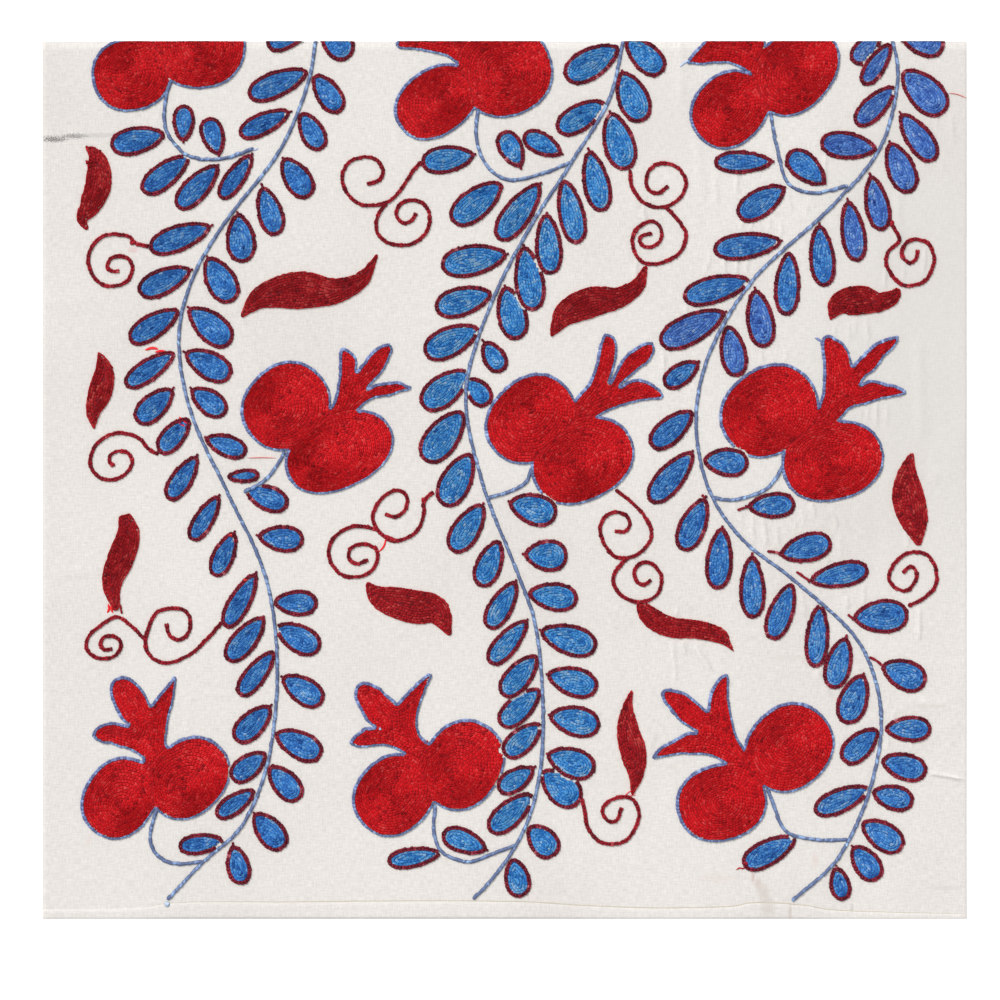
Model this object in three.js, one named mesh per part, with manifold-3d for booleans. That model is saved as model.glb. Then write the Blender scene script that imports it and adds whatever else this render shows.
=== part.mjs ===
// Suzani panel: a length of cotton ground cloth with a turned hem along its
// lower edge, worked in chain stitch with three leafy vines, nine
// pomegranates, ten curved solid leaves and ten curling tendrils.
// It lies flat, with X along the hem, Y up the vines and Z out of the face.

import * as THREE from "three";
import * as BufferGeometryUtils from "three/addons/utils/BufferGeometryUtils.js";
import Module from "manifold-3d";

const wasm = await Module();
wasm.setup();

// Driving dimensions, millimetres.
const clothWidth = 462.5;
const clothDepth = 439;
const clothThickness = 1.2;
const hemRise = 0.5;
const stitchHeight = 0.8;
const seatGap = 0.3;
const neighbourGap = 0.35;
const stemWidth = 2.3;
const tendrilWidth = 1.8;
const seat = clothThickness + seatGap;
const crest = seat + stitchHeight;

// The pattern chart counts half-millimetre steps right and down from its own
// corner. The cloth takes up the chart from these two edges.
const chartStep = 0.5;
const chartLeft = 42;
const chartTop = 41;

// Outline steps: enough for each curve to read as one.
const leafStations = [0.09, 0.3, 0.62, 0.9];
const lobeSides = 22;
const bladeSteps = 9;
const stemSteps = 30;
const stalkSteps = 9;
const tendrilStep = 5.5;
const rootSearchSteps = 300;
const swellColumns = 10;
const swellRows = 6;

// Shapes of the motifs. Fullness is the power that rounds each end of a leaf,
// and squareness the power of a lobe's oval.
const leafBaseFullness = 0.62;
const leafTipFullness = 0.46;
const lobeSquareness = 2.2;
const bladeTipWidth = 0.4;

// The neck that joins a leaf to its stem: how far up the leaf it reaches and
// how wide it is there. A leaf that points away from its root by more than the
// share below takes the root as its own base point.
const neckReach = 0.2;
const neckWidth = 3;
const frontShare = 0.35;

// Corners closer than this are one corner.
const weldGap = 1e-4;
const blockHeight = 20;

// A table in text: named columns, then one row a line.
function table(columns, text) {
  const names = columns.split(" ");
  const lines = text.trim().split("\n");
  return lines.map((line) => {
    const values = line.trim().split(/\s+/);
    return Object.fromEntries(names.map((name, i) => [name, Number(values[i])]));
  });
}

// A route in text: "x,y x,y ..." in chart steps.
function route(text) {
  return text.trim().split(/\s+/).map((pair) => {
    const [x, y] = pair.split(",").map(Number);
    return place(x, y);
  });
}

// A chart position on the cloth, millimetres from its middle.
function place(x, y) {
  return new THREE.Vector2(
    (x - chartLeft) * chartStep - clothWidth / 2,
    clothDepth / 2 - (y - chartTop) * chartStep,
  );
}

// The three vines. Each stem runs from the cut top edge down to its end
// above the hem.
const leafColumns = "base_x base_y tip_x tip_y width";
const vines = [
  {
    name: "vine_left",
    stem: `316,36 309,79 281,148 228,218 196,270 180,322 181,371 194,422
           228,494 266,579 277,671 266,769 240,828 202,863 168,899`,
    stalks: [
      "157,808 150,834 153,850 163,860 177,864 202,862",
    ],
    leaves: table(leafColumns, `
      308 71 248 96 28
      290 111 239 135 24
      211 226 149 249 28
      191 269 138 293 28
      179 310 129 341 27
      175 352 125 386 24
      173 389 136 422 28
      189 418 159 453 25
      197 456 168 500 24
      219 495 191 541 22
      234 532 214 577 24
      256 573 225 628 24
      264 617 227 661 27
      274 651 239 696 24
      271 706 235 741 28
      266 753 231 780 26
      255 790 216 817 22
      224 841 178 847 22
      314 74 341 112 27
      301 112 322 150 26
      283 158 310 197 29
      262 186 277 236 27
      238 213 243 263 31
      207 257 233 302 32
      189 308 231 344 32
      185 352 231 377 30
      191 389 226 414 27
      205 438 247 453 24
      226 477 260 475 15
      258 536 304 541 28
      273 602 318 604 27
      276 626 320 650 30
      282 677 323 703 29
      275 733 322 756 30
      269 766 300 800 28
      254 813 284 849 29
      233 845 243 885 25`),
  },
  {
    name: "vine_middle",
    stem: `624,36 610,97 571,163 530,227 492,301 469,370 466,409 484,488
           517,572 535,624 543,719 537,789 519,840 487,885 474,898`,
    stalks: [
      "478,107 476,134 481,156 494,173 511,180 544,173 571,162",
      "532,460 530,474 525,483 511,491 488,498",
      "435,806 434,834 441,851 454,859 471,862 490,855 514,846",
    ],
    leaves: table(leafColumns, `
      626 38 663 73 30
      622 71 643 122 33
      610 112 627 170 33
      589 150 603 212 28
      564 179 578 244 28
      546 213 551 275 28
      524 246 534 311 31
      505 286 518 340 31
      484 341 503 372 24
      467 378 489 405 25
      509 502 557 516 33
      524 554 568 557 33
      528 593 578 600 30
      540 631 597 648 32
      547 674 598 689 31
      549 715 600 727 32
      547 754 595 771 32
      542 771 579 804 34
      529 826 556 856 30
      513 858 521 898 27
      619 47 565 78 33
      605 102 557 131 29
      521 167 502 131 26
      562 154 523 134 24
      475 155 421 163 29
      502 183 452 222 33
      540 183 498 240 30
      507 254 441 266 33
      492 293 435 309 31
      479 328 424 354 32
      469 371 422 407 33
      463 411 424 461 35
      471 453 443 506 33
      483 504 452 552 30
      499 540 480 587 28
      516 581 488 629 26
      527 620 489 664 25
      537 655 502 696 28
      540 689 500 726 28
      541 724 504 756 27
      534 768 498 791 25
      533 794 489 832 28
      487 850 442 833 26
      441 853 387 862 22`),
  },
  {
    name: "vine_right",
    stem: `892,36 898,76 880,148 828,210 753,280 707,360 696,425 710,492
           742,539 796,582 860,644 881,711 871,786 836,861 793,900`,
    stalks: [
      "770,107 774,134 779,156 785,178 794,188 815,193 847,186",
      "783,453 782,466 776,478 766,489 750,496 730,500 711,497",
      "768,790 774,806 780,823 788,833 799,837 817,840 846,840",
    ],
    leaves: table(leafColumns, `
      903 70 945 113 36
      901 113 935 161 28
      890 142 911 193 30
      871 175 883 231 26
      848 200 858 262 26
      819 224 825 287 27
      789 251 786 316 27
      755 289 765 348 29
      728 325 738 377 28
      703 460 749 464 30
      748 507 796 504 27
      780 555 832 541 30
      810 581 869 569 27
      853 618 909 615 35
      882 665 926 684 32
      885 729 932 729 27
      881 760 927 773 29
      872 792 914 803 27
      862 822 903 849 30
      853 846 879 880 28
      836 867 844 901 22
      891 43 863 85 22
      895 86 856 125 25
      877 149 820 142 29
      825 184 788 152 29
      773 162 714 162 24
      785 187 738 217 30
      782 241 713 250 28
      750 280 683 298 29
      725 312 660 344 32
      699 362 664 386 24
      693 411 651 447 28
      693 452 650 502 29
      705 498 682 551 29
      722 527 717 590 28
      752 555 753 619 27
      792 583 771 640 27
      820 604 815 668 25
      846 637 832 689 28
      863 674 845 724 31
      878 729 843 762 28
      870 788 814 812 26
      796 838 743 866 28`),
  },
];

// Two fruit stalks that stop short of the vine, with the leaves they carry.
const branches = [
  {
    name: "branch_top_left",
    stem: "171,80 165,102 165,126 173,142 189,156 221,159 252,149",
    stalks: [],
    leaves: table(leafColumns, `
      165 134 110 146 29
      183 142 184 104 23
      219 155 207 117 25
      189 156 142 192 27
      218 165 177 208 27
      252 154 220 199 22`),
  },
  {
    name: "branch_middle_left",
    stem: "284,452 279,462 268,477 256,486 245,491",
    stalks: [],
    leaves: table(leafColumns, `
      245 489 288 506 27`),
  },
];

// Leaves that grow from beyond the cut top edge.
const topLeaves = table(leafColumns, `
  312 22 267 47 26
  322 25 350 58 30
  880 33 853 63 24
  898 30 944 50 30`);

// Pomegranates: two tilted round lobes and a crown. Long and short are half
// the lobe's length and width, tilt is in degrees. The crown runs from one
// lobe round its tips and notches to the other, and back inside both.
const lobeColumns = "x y long short tilt";
const pomegranates = [
  {
    name: "pomegranate_top_left",
    lobes: table(lobeColumns, `
      131 74 40 37.5 10
      199 44 47 45 0`),
    crown: `128,62 140,20 200,20 190,62`,
  },
  {
    name: "pomegranate_top_middle",
    lobes: table(lobeColumns, `
      436 101.5 44.8 34 35
      505 71 48 46 20`),
    crown: `457,65 455,63 451,60 447,57 440,54.5 431,53 421,50.5 412,49.7
           403,49.5 395,47.5 396,41 402,30 476.5,30 476.5,50 475,56 480,80 460,90`,
  },
  {
    name: "pomegranate_top_right",
    lobes: table(lobeColumns, `
      729.5 109 42 36.4 45
      795 70 50 39 50`),
    crown: `753,77 748,73 742,69.5 736,66 730,64 722,63.5 711,64 700,65
           690,64 681,67 687,60 691,54 697,48 703,41 712,30 766,30 766,41
           767,50 770,56 780,80 760,95`,
  },
  {
    name: "pomegranate_middle_left",
    lobes: table(lobeColumns, `
      285.5 405.7 46.8 41.4 45
      339 452 57.5 37 25`),
    crown: `331,406 335,395 337,384 338.5,375 338.5,362 339,347 346,347.5
           351,351 355,355 357.5,362 356.5,371 360,366 364,361 368,355 373,350
           379,346 385,343 391,343 393,351 390,358 387,365 383,372 378,378
           374,382 368,388 374,384 382,382.5 392,381 400,381 406,384 414,387.5
           410,390 402,392 393,395 385,397 377,398 370,401 364,405 356,413
           340,430 320,425`,
  },
  {
    name: "pomegranate_middle",
    lobes: table(lobeColumns, `
      530 418.5 49 40 45
      582.5 460.5 54 40.5 27`),
    crown: `574,400 578,394 583,389 588,383 592,374 595,365 597,355 599,345
           604,332.5 609,333 615,338 617,345 617,355 614,369 609.5,382 613,375
           617,367 621,360 627,353 634,348 641,344 647,341 654,342.5 655,350
           652,358 647,364 641,368 634,374 628,379 620,386 626,382 632,379
           640,378.5 648,381 655,385 661,390 664.5,396 662,400 653,400
           643,401 633,403 623,406 614,409 605,413 593,420 585,440 560,425`,
  },
  {
    name: "pomegranate_middle_right",
    lobes: table(lobeColumns, `
      769 410.5 51.6 43.6 36
      832.5 461 52 40 14`),
    crown: `817,408 820,400 822,392 823,376 822.5,360 821,350 821,338
           826,334.5 831,334.5 836,338 841,340 846,346 850,353 852.5,365
           857,360 862,355 868,349 875,343 882,339.5 889,337 900,335.5
           899,341 895,347 889,353 883,359 878,367 872,373 866,377 861,384
           868,380 877,380 886,383 894,384 901,387 910,393.5 905,395 895,397
           884,399 874,402 864,405 855,407 849,410 845,415 837,423
           830,440 800,425`,
  },
  {
    name: "pomegranate_bottom_left",
    lobes: table(lobeColumns, `
      119.5 798 43 36.3 56
      188 778 45.4 37.2 45`),
    crown: `166,743 167,735 168,725 170,714 173,704 175,692 176,682 178,674
           180.5,669.5 175,674 168,683 160,692 154,700 150.5,705 147,697
           143,690 137,683 130,677.5 123,675.5 116,677.5 111,682 109,689
           110,697 113,705 117,713 121,720 128,725 116,722 107,722 100,725
           95,728 92,733 90.5,736 94,739 101,743 110,744 118,747 126,749
           133,752 143,759 140,780 172,770`,
  },
  {
    name: "pomegranate_bottom_middle",
    lobes: table(lobeColumns, `
      394 795 43.7 38.7 45
      462 765 47.3 40 59`),
    crown: `423,738 419,732 417.5,725 418.5,714 421,704 425,693 429,683
           432,678 433,673 430,672 425,675 418,681 411,688 404,695 397,703
           393,699 386,693.5 381,688 374,684 367,681.5 360,682 356,686
           354,692 354,699 357,705 361,713 365,720 370,725 374,727 368,727
           363,727 360,731 354,735 350,740 347,743 353,746 361,748 372,747
           383,746 392,748 404,754 405,775 435,765`,
  },
  {
    name: "pomegranate_bottom_right",
    lobes: table(lobeColumns, `
      721.5 802.5 46 39 15
      789 747.5 46.9 41.9 45`),
    crown: `746,750 741,743 737,736 734,725 732,715 730,705 729,697
           729,685 729,673 724,674 719,677 714,684 710,692 708,700 707,710
           699,703 692,697 685,692 678,690 671,688.5 662,689 661,694 663,702
           669,709 675,717 681,723 689,728 696,732 689,731 681,735 671,741
           661,746 655,752 650,761 657,759 668,757 680,755 692,755 703,755
           712,757 720,761 727,766 735,785 760,770`,
  },
];

// Curved solid leaves: stations along the middle line and the width there.
const bladeColumns = "x y width";
const blades = [
  table(bladeColumns, `
    88 145 2
    97 160 20
    98 185 27
    90 205 22
    82 220 11
    90 232 1`),
  table(bladeColumns, `
    98 350 1
    104 372 20
    99 395 24
    93 412 15
    94 430 2`),
  table(bladeColumns, `
    124 514 12
    128 535 24
    120 560 27
    112 582 21
    116 611 7`),
  table(bladeColumns, `
    239 319 1
    262 297 24
    300 290 38
    335 291 26
    362 279 16
    378 253 2`),
  table(bladeColumns, `
    365 581 1
    380 597 24
    410 606 34
    435 611 30
    451 637 2`),
  table(bladeColumns, `
    550 338 1
    567 313 26
    592 302 31
    620 297 21
    638 285 15
    645 269 5`),
  table(bladeColumns, `
    644 606 10
    650 619 21
    670 627 21
    700 630 19
    722 636 16
    737 653 1`),
  table(bladeColumns, `
    634 686 1
    628 705 10
    628 730 23
    634 755 26
    636 775 16
    632 796 2`),
  table(bladeColumns, `
    829 321 1
    840 304 24
    860 300 30
    880 302 20
    894 296 14
    899 288 6`),
  table(bladeColumns, `
    913 450 1
    908 470 18
    908 495 33
    914 520 29
    919 546 5`),
];

// Tendrils: one or two curling routes each.
const tendrils = [
  [`149,246 135,243 130,237 116,234 101,237 91,248 88,260 92,274 101,284
    114,286 126,282 132,271 130,260 121,256 110,259 107,267 111,271 119,271`],
  [`158,454 148,449 139,438 119,433 103,438 92,451 90,464 97,476 111,480
    124,475 132,464 129,454 120,451 111,454 109,461 113,466`],
  [`222,622 207,639 189,655 166,663 150,656 145,642 148,630 156,613 167,609
    181,609 189,616 190,628 185,637 177,640 169,635 166,624`,
   `145,640 131,626 117,617 100,626 87,639 87,650 97,658 110,658 120,650
    120,641 113,636 104,637 100,644 104,650 112,649`],
  [`421,162 412,172 404,185 392,199 376,205 360,204 347,193 342,177 349,162
    365,157 377,160 383,171 379,180 367,184`,
   `386,204 379,213 376,225 380,237 392,244 411,244 425,234 430,217 424,204
    411,200 400,204 396,215 403,223 411,221 416,213`],
  [`433,492 424,501 424,512 419,528 409,537 393,541 384,536 376,528 373,514
    382,498 398,490 407,497 405,510 395,517 385,514`,
   `378,530 357,526 339,533 329,547 331,563 342,575 355,577 369,573 377,561
    376,549 363,544 350,549 349,559 358,564 368,560`],
  [`630,170 632,186 642,201 656,207 670,205 683,194 686,180 677,167 661,163
    650,169 646,180 650,191 659,193 668,186`,
   `665,206 678,220 686,233 682,250 669,260 654,264 641,261 634,250 633,236
    641,225 653,221 661,228 661,239 652,247 642,245 640,237 652,233`],
  [`616,490 629,500 643,514 651,528 651,539 643,550 632,557 616,557 605,545
    600,531 604,518 615,512 627,516 630,525 624,532 615,531`,
   `629,557 618,568 613,579 618,592 629,600 642,602 656,596 662,579 656,567
    645,562 635,569 636,580 643,585 651,580`],
  [`581,797 585,812 587,826 597,840 608,844 624,842 635,829 639,812 632,799
    621,797 608,802 602,812 608,821 616,821 622,808`],
  [`891,223 898,235 900,240 889,251 886,262 892,275 903,285 915,285 926,280
    933,267 934,255 928,243 915,239 905,244 902,255 910,263 917,258 918,250`],
  [`909,606 924,598 935,587 936,569 927,555 916,552 904,555 893,566 889,579
    896,588 906,591 914,584 917,573 911,566 903,573`],
];

// The fold line of the hem, from the left edge of the cloth to the right.
const hemLine = `42,910 137,909 166,904 280,903 363,902 416,899 471,901 530,902
  594,906 674,908 753,904 804,906 880,910 967,914`;

// Soft swells of the ground cloth between the motifs: both ends and the width
// in chart steps, and the height at the middle in millimetres.
const swells = table("x0 y0 x1 y1 width height", `
  672 592 692 612 7 0.7
  697 646 714 670 7 0.8
  677 643 679 684 6 0.7
  762 516 764 539 7 0.6
  806 516 815 536 7 0.6
  849 590 853 603 6 0.6
  806 678 826 706 8 0.7
  730 180 734 208 7 0.7
  722 222 728 246 7 0.7
  838 322 868 338 9 0.6
  872 404 900 428 10 0.7
  905 318 948 345 12 0.6
  948 180 956 240 9 0.7
  300 560 322 586 10 0.4
  62 300 70 360 12 0.4
  60 560 74 640 12 0.4
  930 774 966 779 5 0.9`);

// An outline raised into a solid between two heights.
function raised(points, low, high) {
  const outline = THREE.ShapeUtils.area(points) < 0 ? [...points].reverse() : points;
  const geometry = new THREE.ExtrudeGeometry(new THREE.Shape(outline), {
    depth: high - low,
    bevelEnabled: false,
  });
  geometry.translate(0, 0, low);
  return solid(geometry);
}

// A patch of stitching over its outline. A grown one, used only to keep its
// neighbours clear, reaches down to the cloth.
function stitched(points, grow) {
  return raised(points, grow > 0 ? clothThickness : seat, crest);
}

function solid(geometry) {
  geometry.deleteAttribute("normal");
  geometry.deleteAttribute("uv");
  const merged = BufferGeometryUtils.mergeVertices(geometry, weldGap);
  return new wasm.Manifold(new wasm.Mesh({
    numProp: 3,
    vertProperties: new Float32Array(merged.attributes.position.array),
    triVerts: new Uint32Array(merged.index.array),
  }));
}

function joined(solids) {
  return solids.reduce((whole, piece) => whole.add(piece));
}

// The almond of a leaf: pointed at its base, round at its tip.
function leafOutline(leaf, grow) {
  const base = place(leaf.base_x, leaf.base_y);
  const tip = place(leaf.tip_x, leaf.tip_y);
  const along = tip.clone().sub(base);
  const length = along.length() + 2 * grow;
  along.normalize();
  const start = base.clone().addScaledVector(along, -grow);
  const across = new THREE.Vector2(-along.y, along.x);
  const half = (leaf.width * chartStep) / 2 + grow;
  const left = [];
  const right = [];
  for (const t of leafStations) {
    const middle = start.clone().addScaledVector(along, length * t);
    const reach = half * almond(t);
    left.push(middle.clone().addScaledVector(across, reach));
    right.unshift(middle.clone().addScaledVector(across, -reach));
  }
  const end = tip.clone().addScaledVector(along, grow);
  return [start, ...left, end, ...right];
}

function almond(t) {
  const a = leafBaseFullness;
  const b = leafTipFullness;
  const widest = a / (a + b);
  const peak = widest ** a * (1 - widest) ** b;
  return (t ** a * (1 - t) ** b) / peak;
}

// A band of even width along a smooth route.
function bandOutline(points, width, steps) {
  const sizes = new Array(steps + 1).fill(width);
  return ribbonOutline(smooth(points, steps), sizes);
}

function smooth(points, steps) {
  const nodes = points.map((p) => new THREE.Vector3(p.x, p.y, 0));
  const curve = new THREE.CatmullRomCurve3(nodes, false, "centripetal");
  return curve.getSpacedPoints(steps).map((p) => new THREE.Vector2(p.x, p.y));
}

function ribbonOutline(line, sizes) {
  const left = [];
  const right = [];
  line.forEach((point, i) => {
    const before = line[Math.max(i - 1, 0)];
    const after = line[Math.min(i + 1, line.length - 1)];
    const along = after.clone().sub(before).normalize();
    const across = new THREE.Vector2(-along.y, along.x);
    left.push(point.clone().addScaledVector(across, sizes[i] / 2));
    right.unshift(point.clone().addScaledVector(across, -sizes[i] / 2));
  });
  return [...left, ...right];
}

// A leaf that bends: its width changes along a smooth middle line.
function bladeOutline(rows, grow) {
  const nodes = rows.map((row) => {
    const p = place(row.x, row.y);
    return new THREE.Vector3(p.x, p.y, row.width * chartStep);
  });
  const curve = new THREE.CatmullRomCurve3(nodes, false, "centripetal");
  const samples = curve.getPoints(bladeSteps);
  const line = samples.map((p) => new THREE.Vector2(p.x, p.y));
  const sizes = samples.map((p) => Math.max(p.z, bladeTipWidth) + 2 * grow);
  return ribbonOutline(line, sizes);
}

// A lobe: a tilted oval with slightly full shoulders.
function lobeOutline(lobe, grow) {
  const centre = place(lobe.x, lobe.y);
  const long = lobe.long * chartStep + grow;
  const short = lobe.short * chartStep + grow;
  const tilt = THREE.MathUtils.degToRad(lobe.tilt);
  const power = 2 / lobeSquareness;
  const points = [];
  for (let i = 0; i < lobeSides; i += 1) {
    const angle = (2 * Math.PI * i) / lobeSides;
    const c = Math.cos(angle);
    const s = Math.sin(angle);
    const u = long * Math.sign(c) * Math.abs(c) ** power;
    const v = short * Math.sign(s) * Math.abs(s) ** power;
    points.push(new THREE.Vector2(u, v).rotateAround(new THREE.Vector2(), tilt).add(centre));
  }
  return points;
}

// The wedge that carries a leaf's base to where it grows from.
function neckOutline(leaf, root) {
  const base = place(leaf.base_x, leaf.base_y);
  const along = place(leaf.tip_x, leaf.tip_y).sub(base);
  const across = new THREE.Vector2(-along.y, along.x).normalize();
  const shoulder = base.clone().addScaledVector(along, neckReach);
  return [
    root,
    shoulder.clone().addScaledVector(across, neckWidth / 2),
    shoulder.clone().addScaledVector(across, -neckWidth / 2),
  ];
}

// A root that lies before the leaf's base takes the point of its almond.
function inFront(leaf, root) {
  const base = place(leaf.base_x, leaf.base_y);
  const along = place(leaf.tip_x, leaf.tip_y).sub(base).normalize();
  const back = base.clone().sub(root);
  return back.dot(along) > frontShare * back.length();
}

// Where a leaf grows from: the nearest point of its vine's stem or stalks
// that the cloth still holds.
function nearestOn(lines, point) {
  let best = lines[0].at(-1);
  for (const line of lines) {
    for (const candidate of line) {
      const held = candidate.y < clothDepth / 2 - stemWidth / 2;
      if (held && candidate.distanceTo(point) < best.distanceTo(point)) best = candidate;
    }
  }
  return best;
}

function vineSolid(vine, grow) {
  const stem = route(vine.stem);
  const stalks = vine.stalks.map(route);
  const lines = [stem, ...stalks].map((line) => smooth(line, rootSearchSteps));
  const pieces = [stitched(bandOutline(stem, stemWidth + 2 * grow, stemSteps), grow)];
  for (const stalk of stalks) {
    pieces.push(stitched(bandOutline(stalk, stemWidth + 2 * grow, stalkSteps), grow));
  }
  for (const leaf of vine.leaves) {
    const root = nearestOn(lines, place(leaf.base_x, leaf.base_y));
    const outline = leafOutline(leaf, grow);
    if (inFront(leaf, root)) outline[0] = root;
    else pieces.push(stitched(neckOutline(leaf, root), grow));
    pieces.push(stitched(outline, grow));
  }
  return joined(pieces);
}

function topLeafSolid(leaf, grow) {
  return stitched(leafOutline(leaf, grow), grow);
}

function pomegranateSolid(fruit, grow) {
  const lobes = fruit.lobes.map((lobe) => stitched(lobeOutline(lobe, grow), grow));
  return joined([...lobes, stitched(route(fruit.crown), grow)]);
}

function bladeSolid(rows, grow) {
  return stitched(bladeOutline(rows, grow), grow);
}

function tendrilSolid(routes, grow) {
  const bands = routes.map((text) => {
    const points = route(text);
    const nodes = points.map((p) => new THREE.Vector3(p.x, p.y, 0));
    const length = new THREE.CatmullRomCurve3(nodes, false, "centripetal").getLength();
    const steps = Math.round(length / tendrilStep);
    return stitched(bandOutline(points, tendrilWidth + 2 * grow, steps), grow);
  });
  return joined(bands);
}

// Whatever is worked across the cut edge ends there with the cloth.
function cutToCloth(shape) {
  const box = new THREE.BoxGeometry(clothWidth, clothDepth, blockHeight);
  box.translate(0, 0, blockHeight / 2);
  return shape.intersect(solid(box));
}

function clothSolid(stitchedArea) {
  const slab = new THREE.BoxGeometry(clothWidth, clothDepth, clothThickness);
  slab.translate(0, 0, clothThickness / 2);
  const fold = route(hemLine);
  const hemBottom = -clothDepth / 2;
  const hem = [
    ...fold,
    new THREE.Vector2(clothWidth / 2, hemBottom),
    new THREE.Vector2(-clothWidth / 2, hemBottom),
  ];
  const rises = joined(swells.map(swellSolid)).subtract(stitchedArea);
  return cutToCloth(joined([
    solid(slab),
    raised(hem, clothThickness / 2, clothThickness + hemRise),
    rises,
  ]));
}

// A swell: a long low dome, its lower half lost in the cloth.
function swellSolid(swell) {
  const from = place(swell.x0, swell.y0);
  const to = place(swell.x1, swell.y1);
  const along = to.clone().sub(from);
  const reach = (swell.width * chartStep) / 2;
  const rise = 2 * Math.min(swell.height, clothThickness / 2);
  const dome = new THREE.SphereGeometry(1, swellColumns, swellRows);
  dome.rotateX(Math.PI / 2);
  dome.scale(along.length() / 2 + reach, reach, rise);
  dome.rotateZ(along.angle());
  const middle = from.add(to).multiplyScalar(0.5);
  dome.translate(middle.x, middle.y, clothThickness - rise / 2);
  return solid(dome);
}

// Finishes, from the cotton and the threads.
const finishes = {
  ground: { color: 0xebe6e0, roughness: 0.95 },
  leaf: { color: 0x3f7fc4, roughness: 0.75 },
  fruit: { color: 0xb81c26, roughness: 0.75 },
  blade: { color: 0x8a1c20, roughness: 0.8 },
  tendril: { color: 0x782a32, roughness: 0.8 },
};

const group = new THREE.Group();

function addMesh(name, shape, finish) {
  const mesh = shape.getMesh();
  const geometry = new THREE.BufferGeometry();
  geometry.setAttribute("position", new THREE.BufferAttribute(mesh.vertProperties, 3));
  geometry.setIndex(new THREE.BufferAttribute(mesh.triVerts, 1));
  geometry.computeVertexNormals();
  const material = new THREE.MeshStandardMaterial({ ...finishes[finish], metalness: 0 });
  const part = new THREE.Mesh(geometry, material);
  part.name = name;
  group.add(part);
}

const sprays = [...vines, ...branches];
const grownSprays = joined(sprays.map((spray) => vineSolid(spray, neighbourGap)));
const grownFruit = joined(pomegranates.map((fruit) => pomegranateSolid(fruit, neighbourGap)));
const grownBlades = joined(blades.map((rows) => bladeSolid(rows, neighbourGap)));
const grownTendrils = joined(tendrils.map((routes) => tendrilSolid(routes, neighbourGap)));
const grownTops = joined(topLeaves.map((leaf) => topLeafSolid(leaf, neighbourGap)));
const grownAll = joined([grownSprays, grownFruit, grownBlades, grownTendrils, grownTops]);

addMesh("ground_cloth", clothSolid(grownAll), "ground");

for (const spray of sprays) addMesh(spray.name, cutToCloth(vineSolid(spray, 0)), "leaf");

topLeaves.forEach((leaf, i) => {
  const shape = cutToCloth(topLeafSolid(leaf, 0)).subtract(grownSprays);
  addMesh(`top_leaf_${i + 1}`, shape, "leaf");
});

for (const fruit of pomegranates) {
  const shape = cutToCloth(pomegranateSolid(fruit, 0)).subtract(grownSprays);
  addMesh(fruit.name, shape, "fruit");
}

const taken = grownSprays.add(grownFruit);
blades.forEach((rows, i) => {
  addMesh(`curved_leaf_${i + 1}`, bladeSolid(rows, 0).subtract(taken), "blade");
});

tendrils.forEach((routes, i) => {
  const shape = tendrilSolid(routes, 0).subtract(taken).subtract(grownBlades);
  addMesh(`tendril_${i + 1}`, shape, "tendril");
});

export default group;
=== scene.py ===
"""Dresses the suzani panel: ground cotton, chain stitching, light and camera."""
import math

import bpy
import numpy as np
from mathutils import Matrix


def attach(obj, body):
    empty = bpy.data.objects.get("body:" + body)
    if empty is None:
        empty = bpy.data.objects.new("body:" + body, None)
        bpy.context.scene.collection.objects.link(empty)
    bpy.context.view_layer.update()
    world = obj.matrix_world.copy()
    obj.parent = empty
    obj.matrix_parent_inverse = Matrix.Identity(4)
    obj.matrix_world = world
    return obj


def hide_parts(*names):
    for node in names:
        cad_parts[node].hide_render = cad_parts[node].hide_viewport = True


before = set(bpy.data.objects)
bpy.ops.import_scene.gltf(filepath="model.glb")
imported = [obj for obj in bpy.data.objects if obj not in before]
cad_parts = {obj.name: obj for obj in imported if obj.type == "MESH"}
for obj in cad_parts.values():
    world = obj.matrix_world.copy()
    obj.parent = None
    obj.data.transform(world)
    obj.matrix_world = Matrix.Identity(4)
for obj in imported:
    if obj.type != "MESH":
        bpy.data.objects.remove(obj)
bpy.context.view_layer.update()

# The chart counts steps of half a millimetre right and down. Here every plan
# position is in steps from the middle of the cloth, with y up.
STEP = 0.0005
CHART_MIDDLE = (504.5, 480)
CLOTH_HALF = (462.5, 439)
CLOTH_TOP = 2.4
HEM_RISE = 0.9
SWELL_RISE = 1.7
CREASE_RISE = 1.6

EDGING_WIDTH = 4.1
FILL_PITCH = 2.5
LINK_PITCH = 3.5
STEM_WIDTH = 5.5
TENDRIL_WIDTH = 4.0
STITCH_HEIGHT = 1.9
PAD_RISE = 0.45
CONTOUR_CELL = 0.8

# How pointed a leaf's base is, and how round its tip.
LEAF_POINT = 0.66
LEAF_ROUND = 0.44

rng = np.random.default_rng(7)


def table(columns, text):
    """Rows of named numbers from text."""
    names = columns.split()
    return [dict(zip(names, map(float, line.split()))) for line in text.strip().splitlines()]


def place(x, y):
    return np.array([x - CHART_MIDDLE[0], CHART_MIDDLE[1] - y])


def route(text):
    """Plan positions from "x,y x,y ..."."""
    return np.array([place(*map(float, pair.split(","))) for pair in text.split()])

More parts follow.
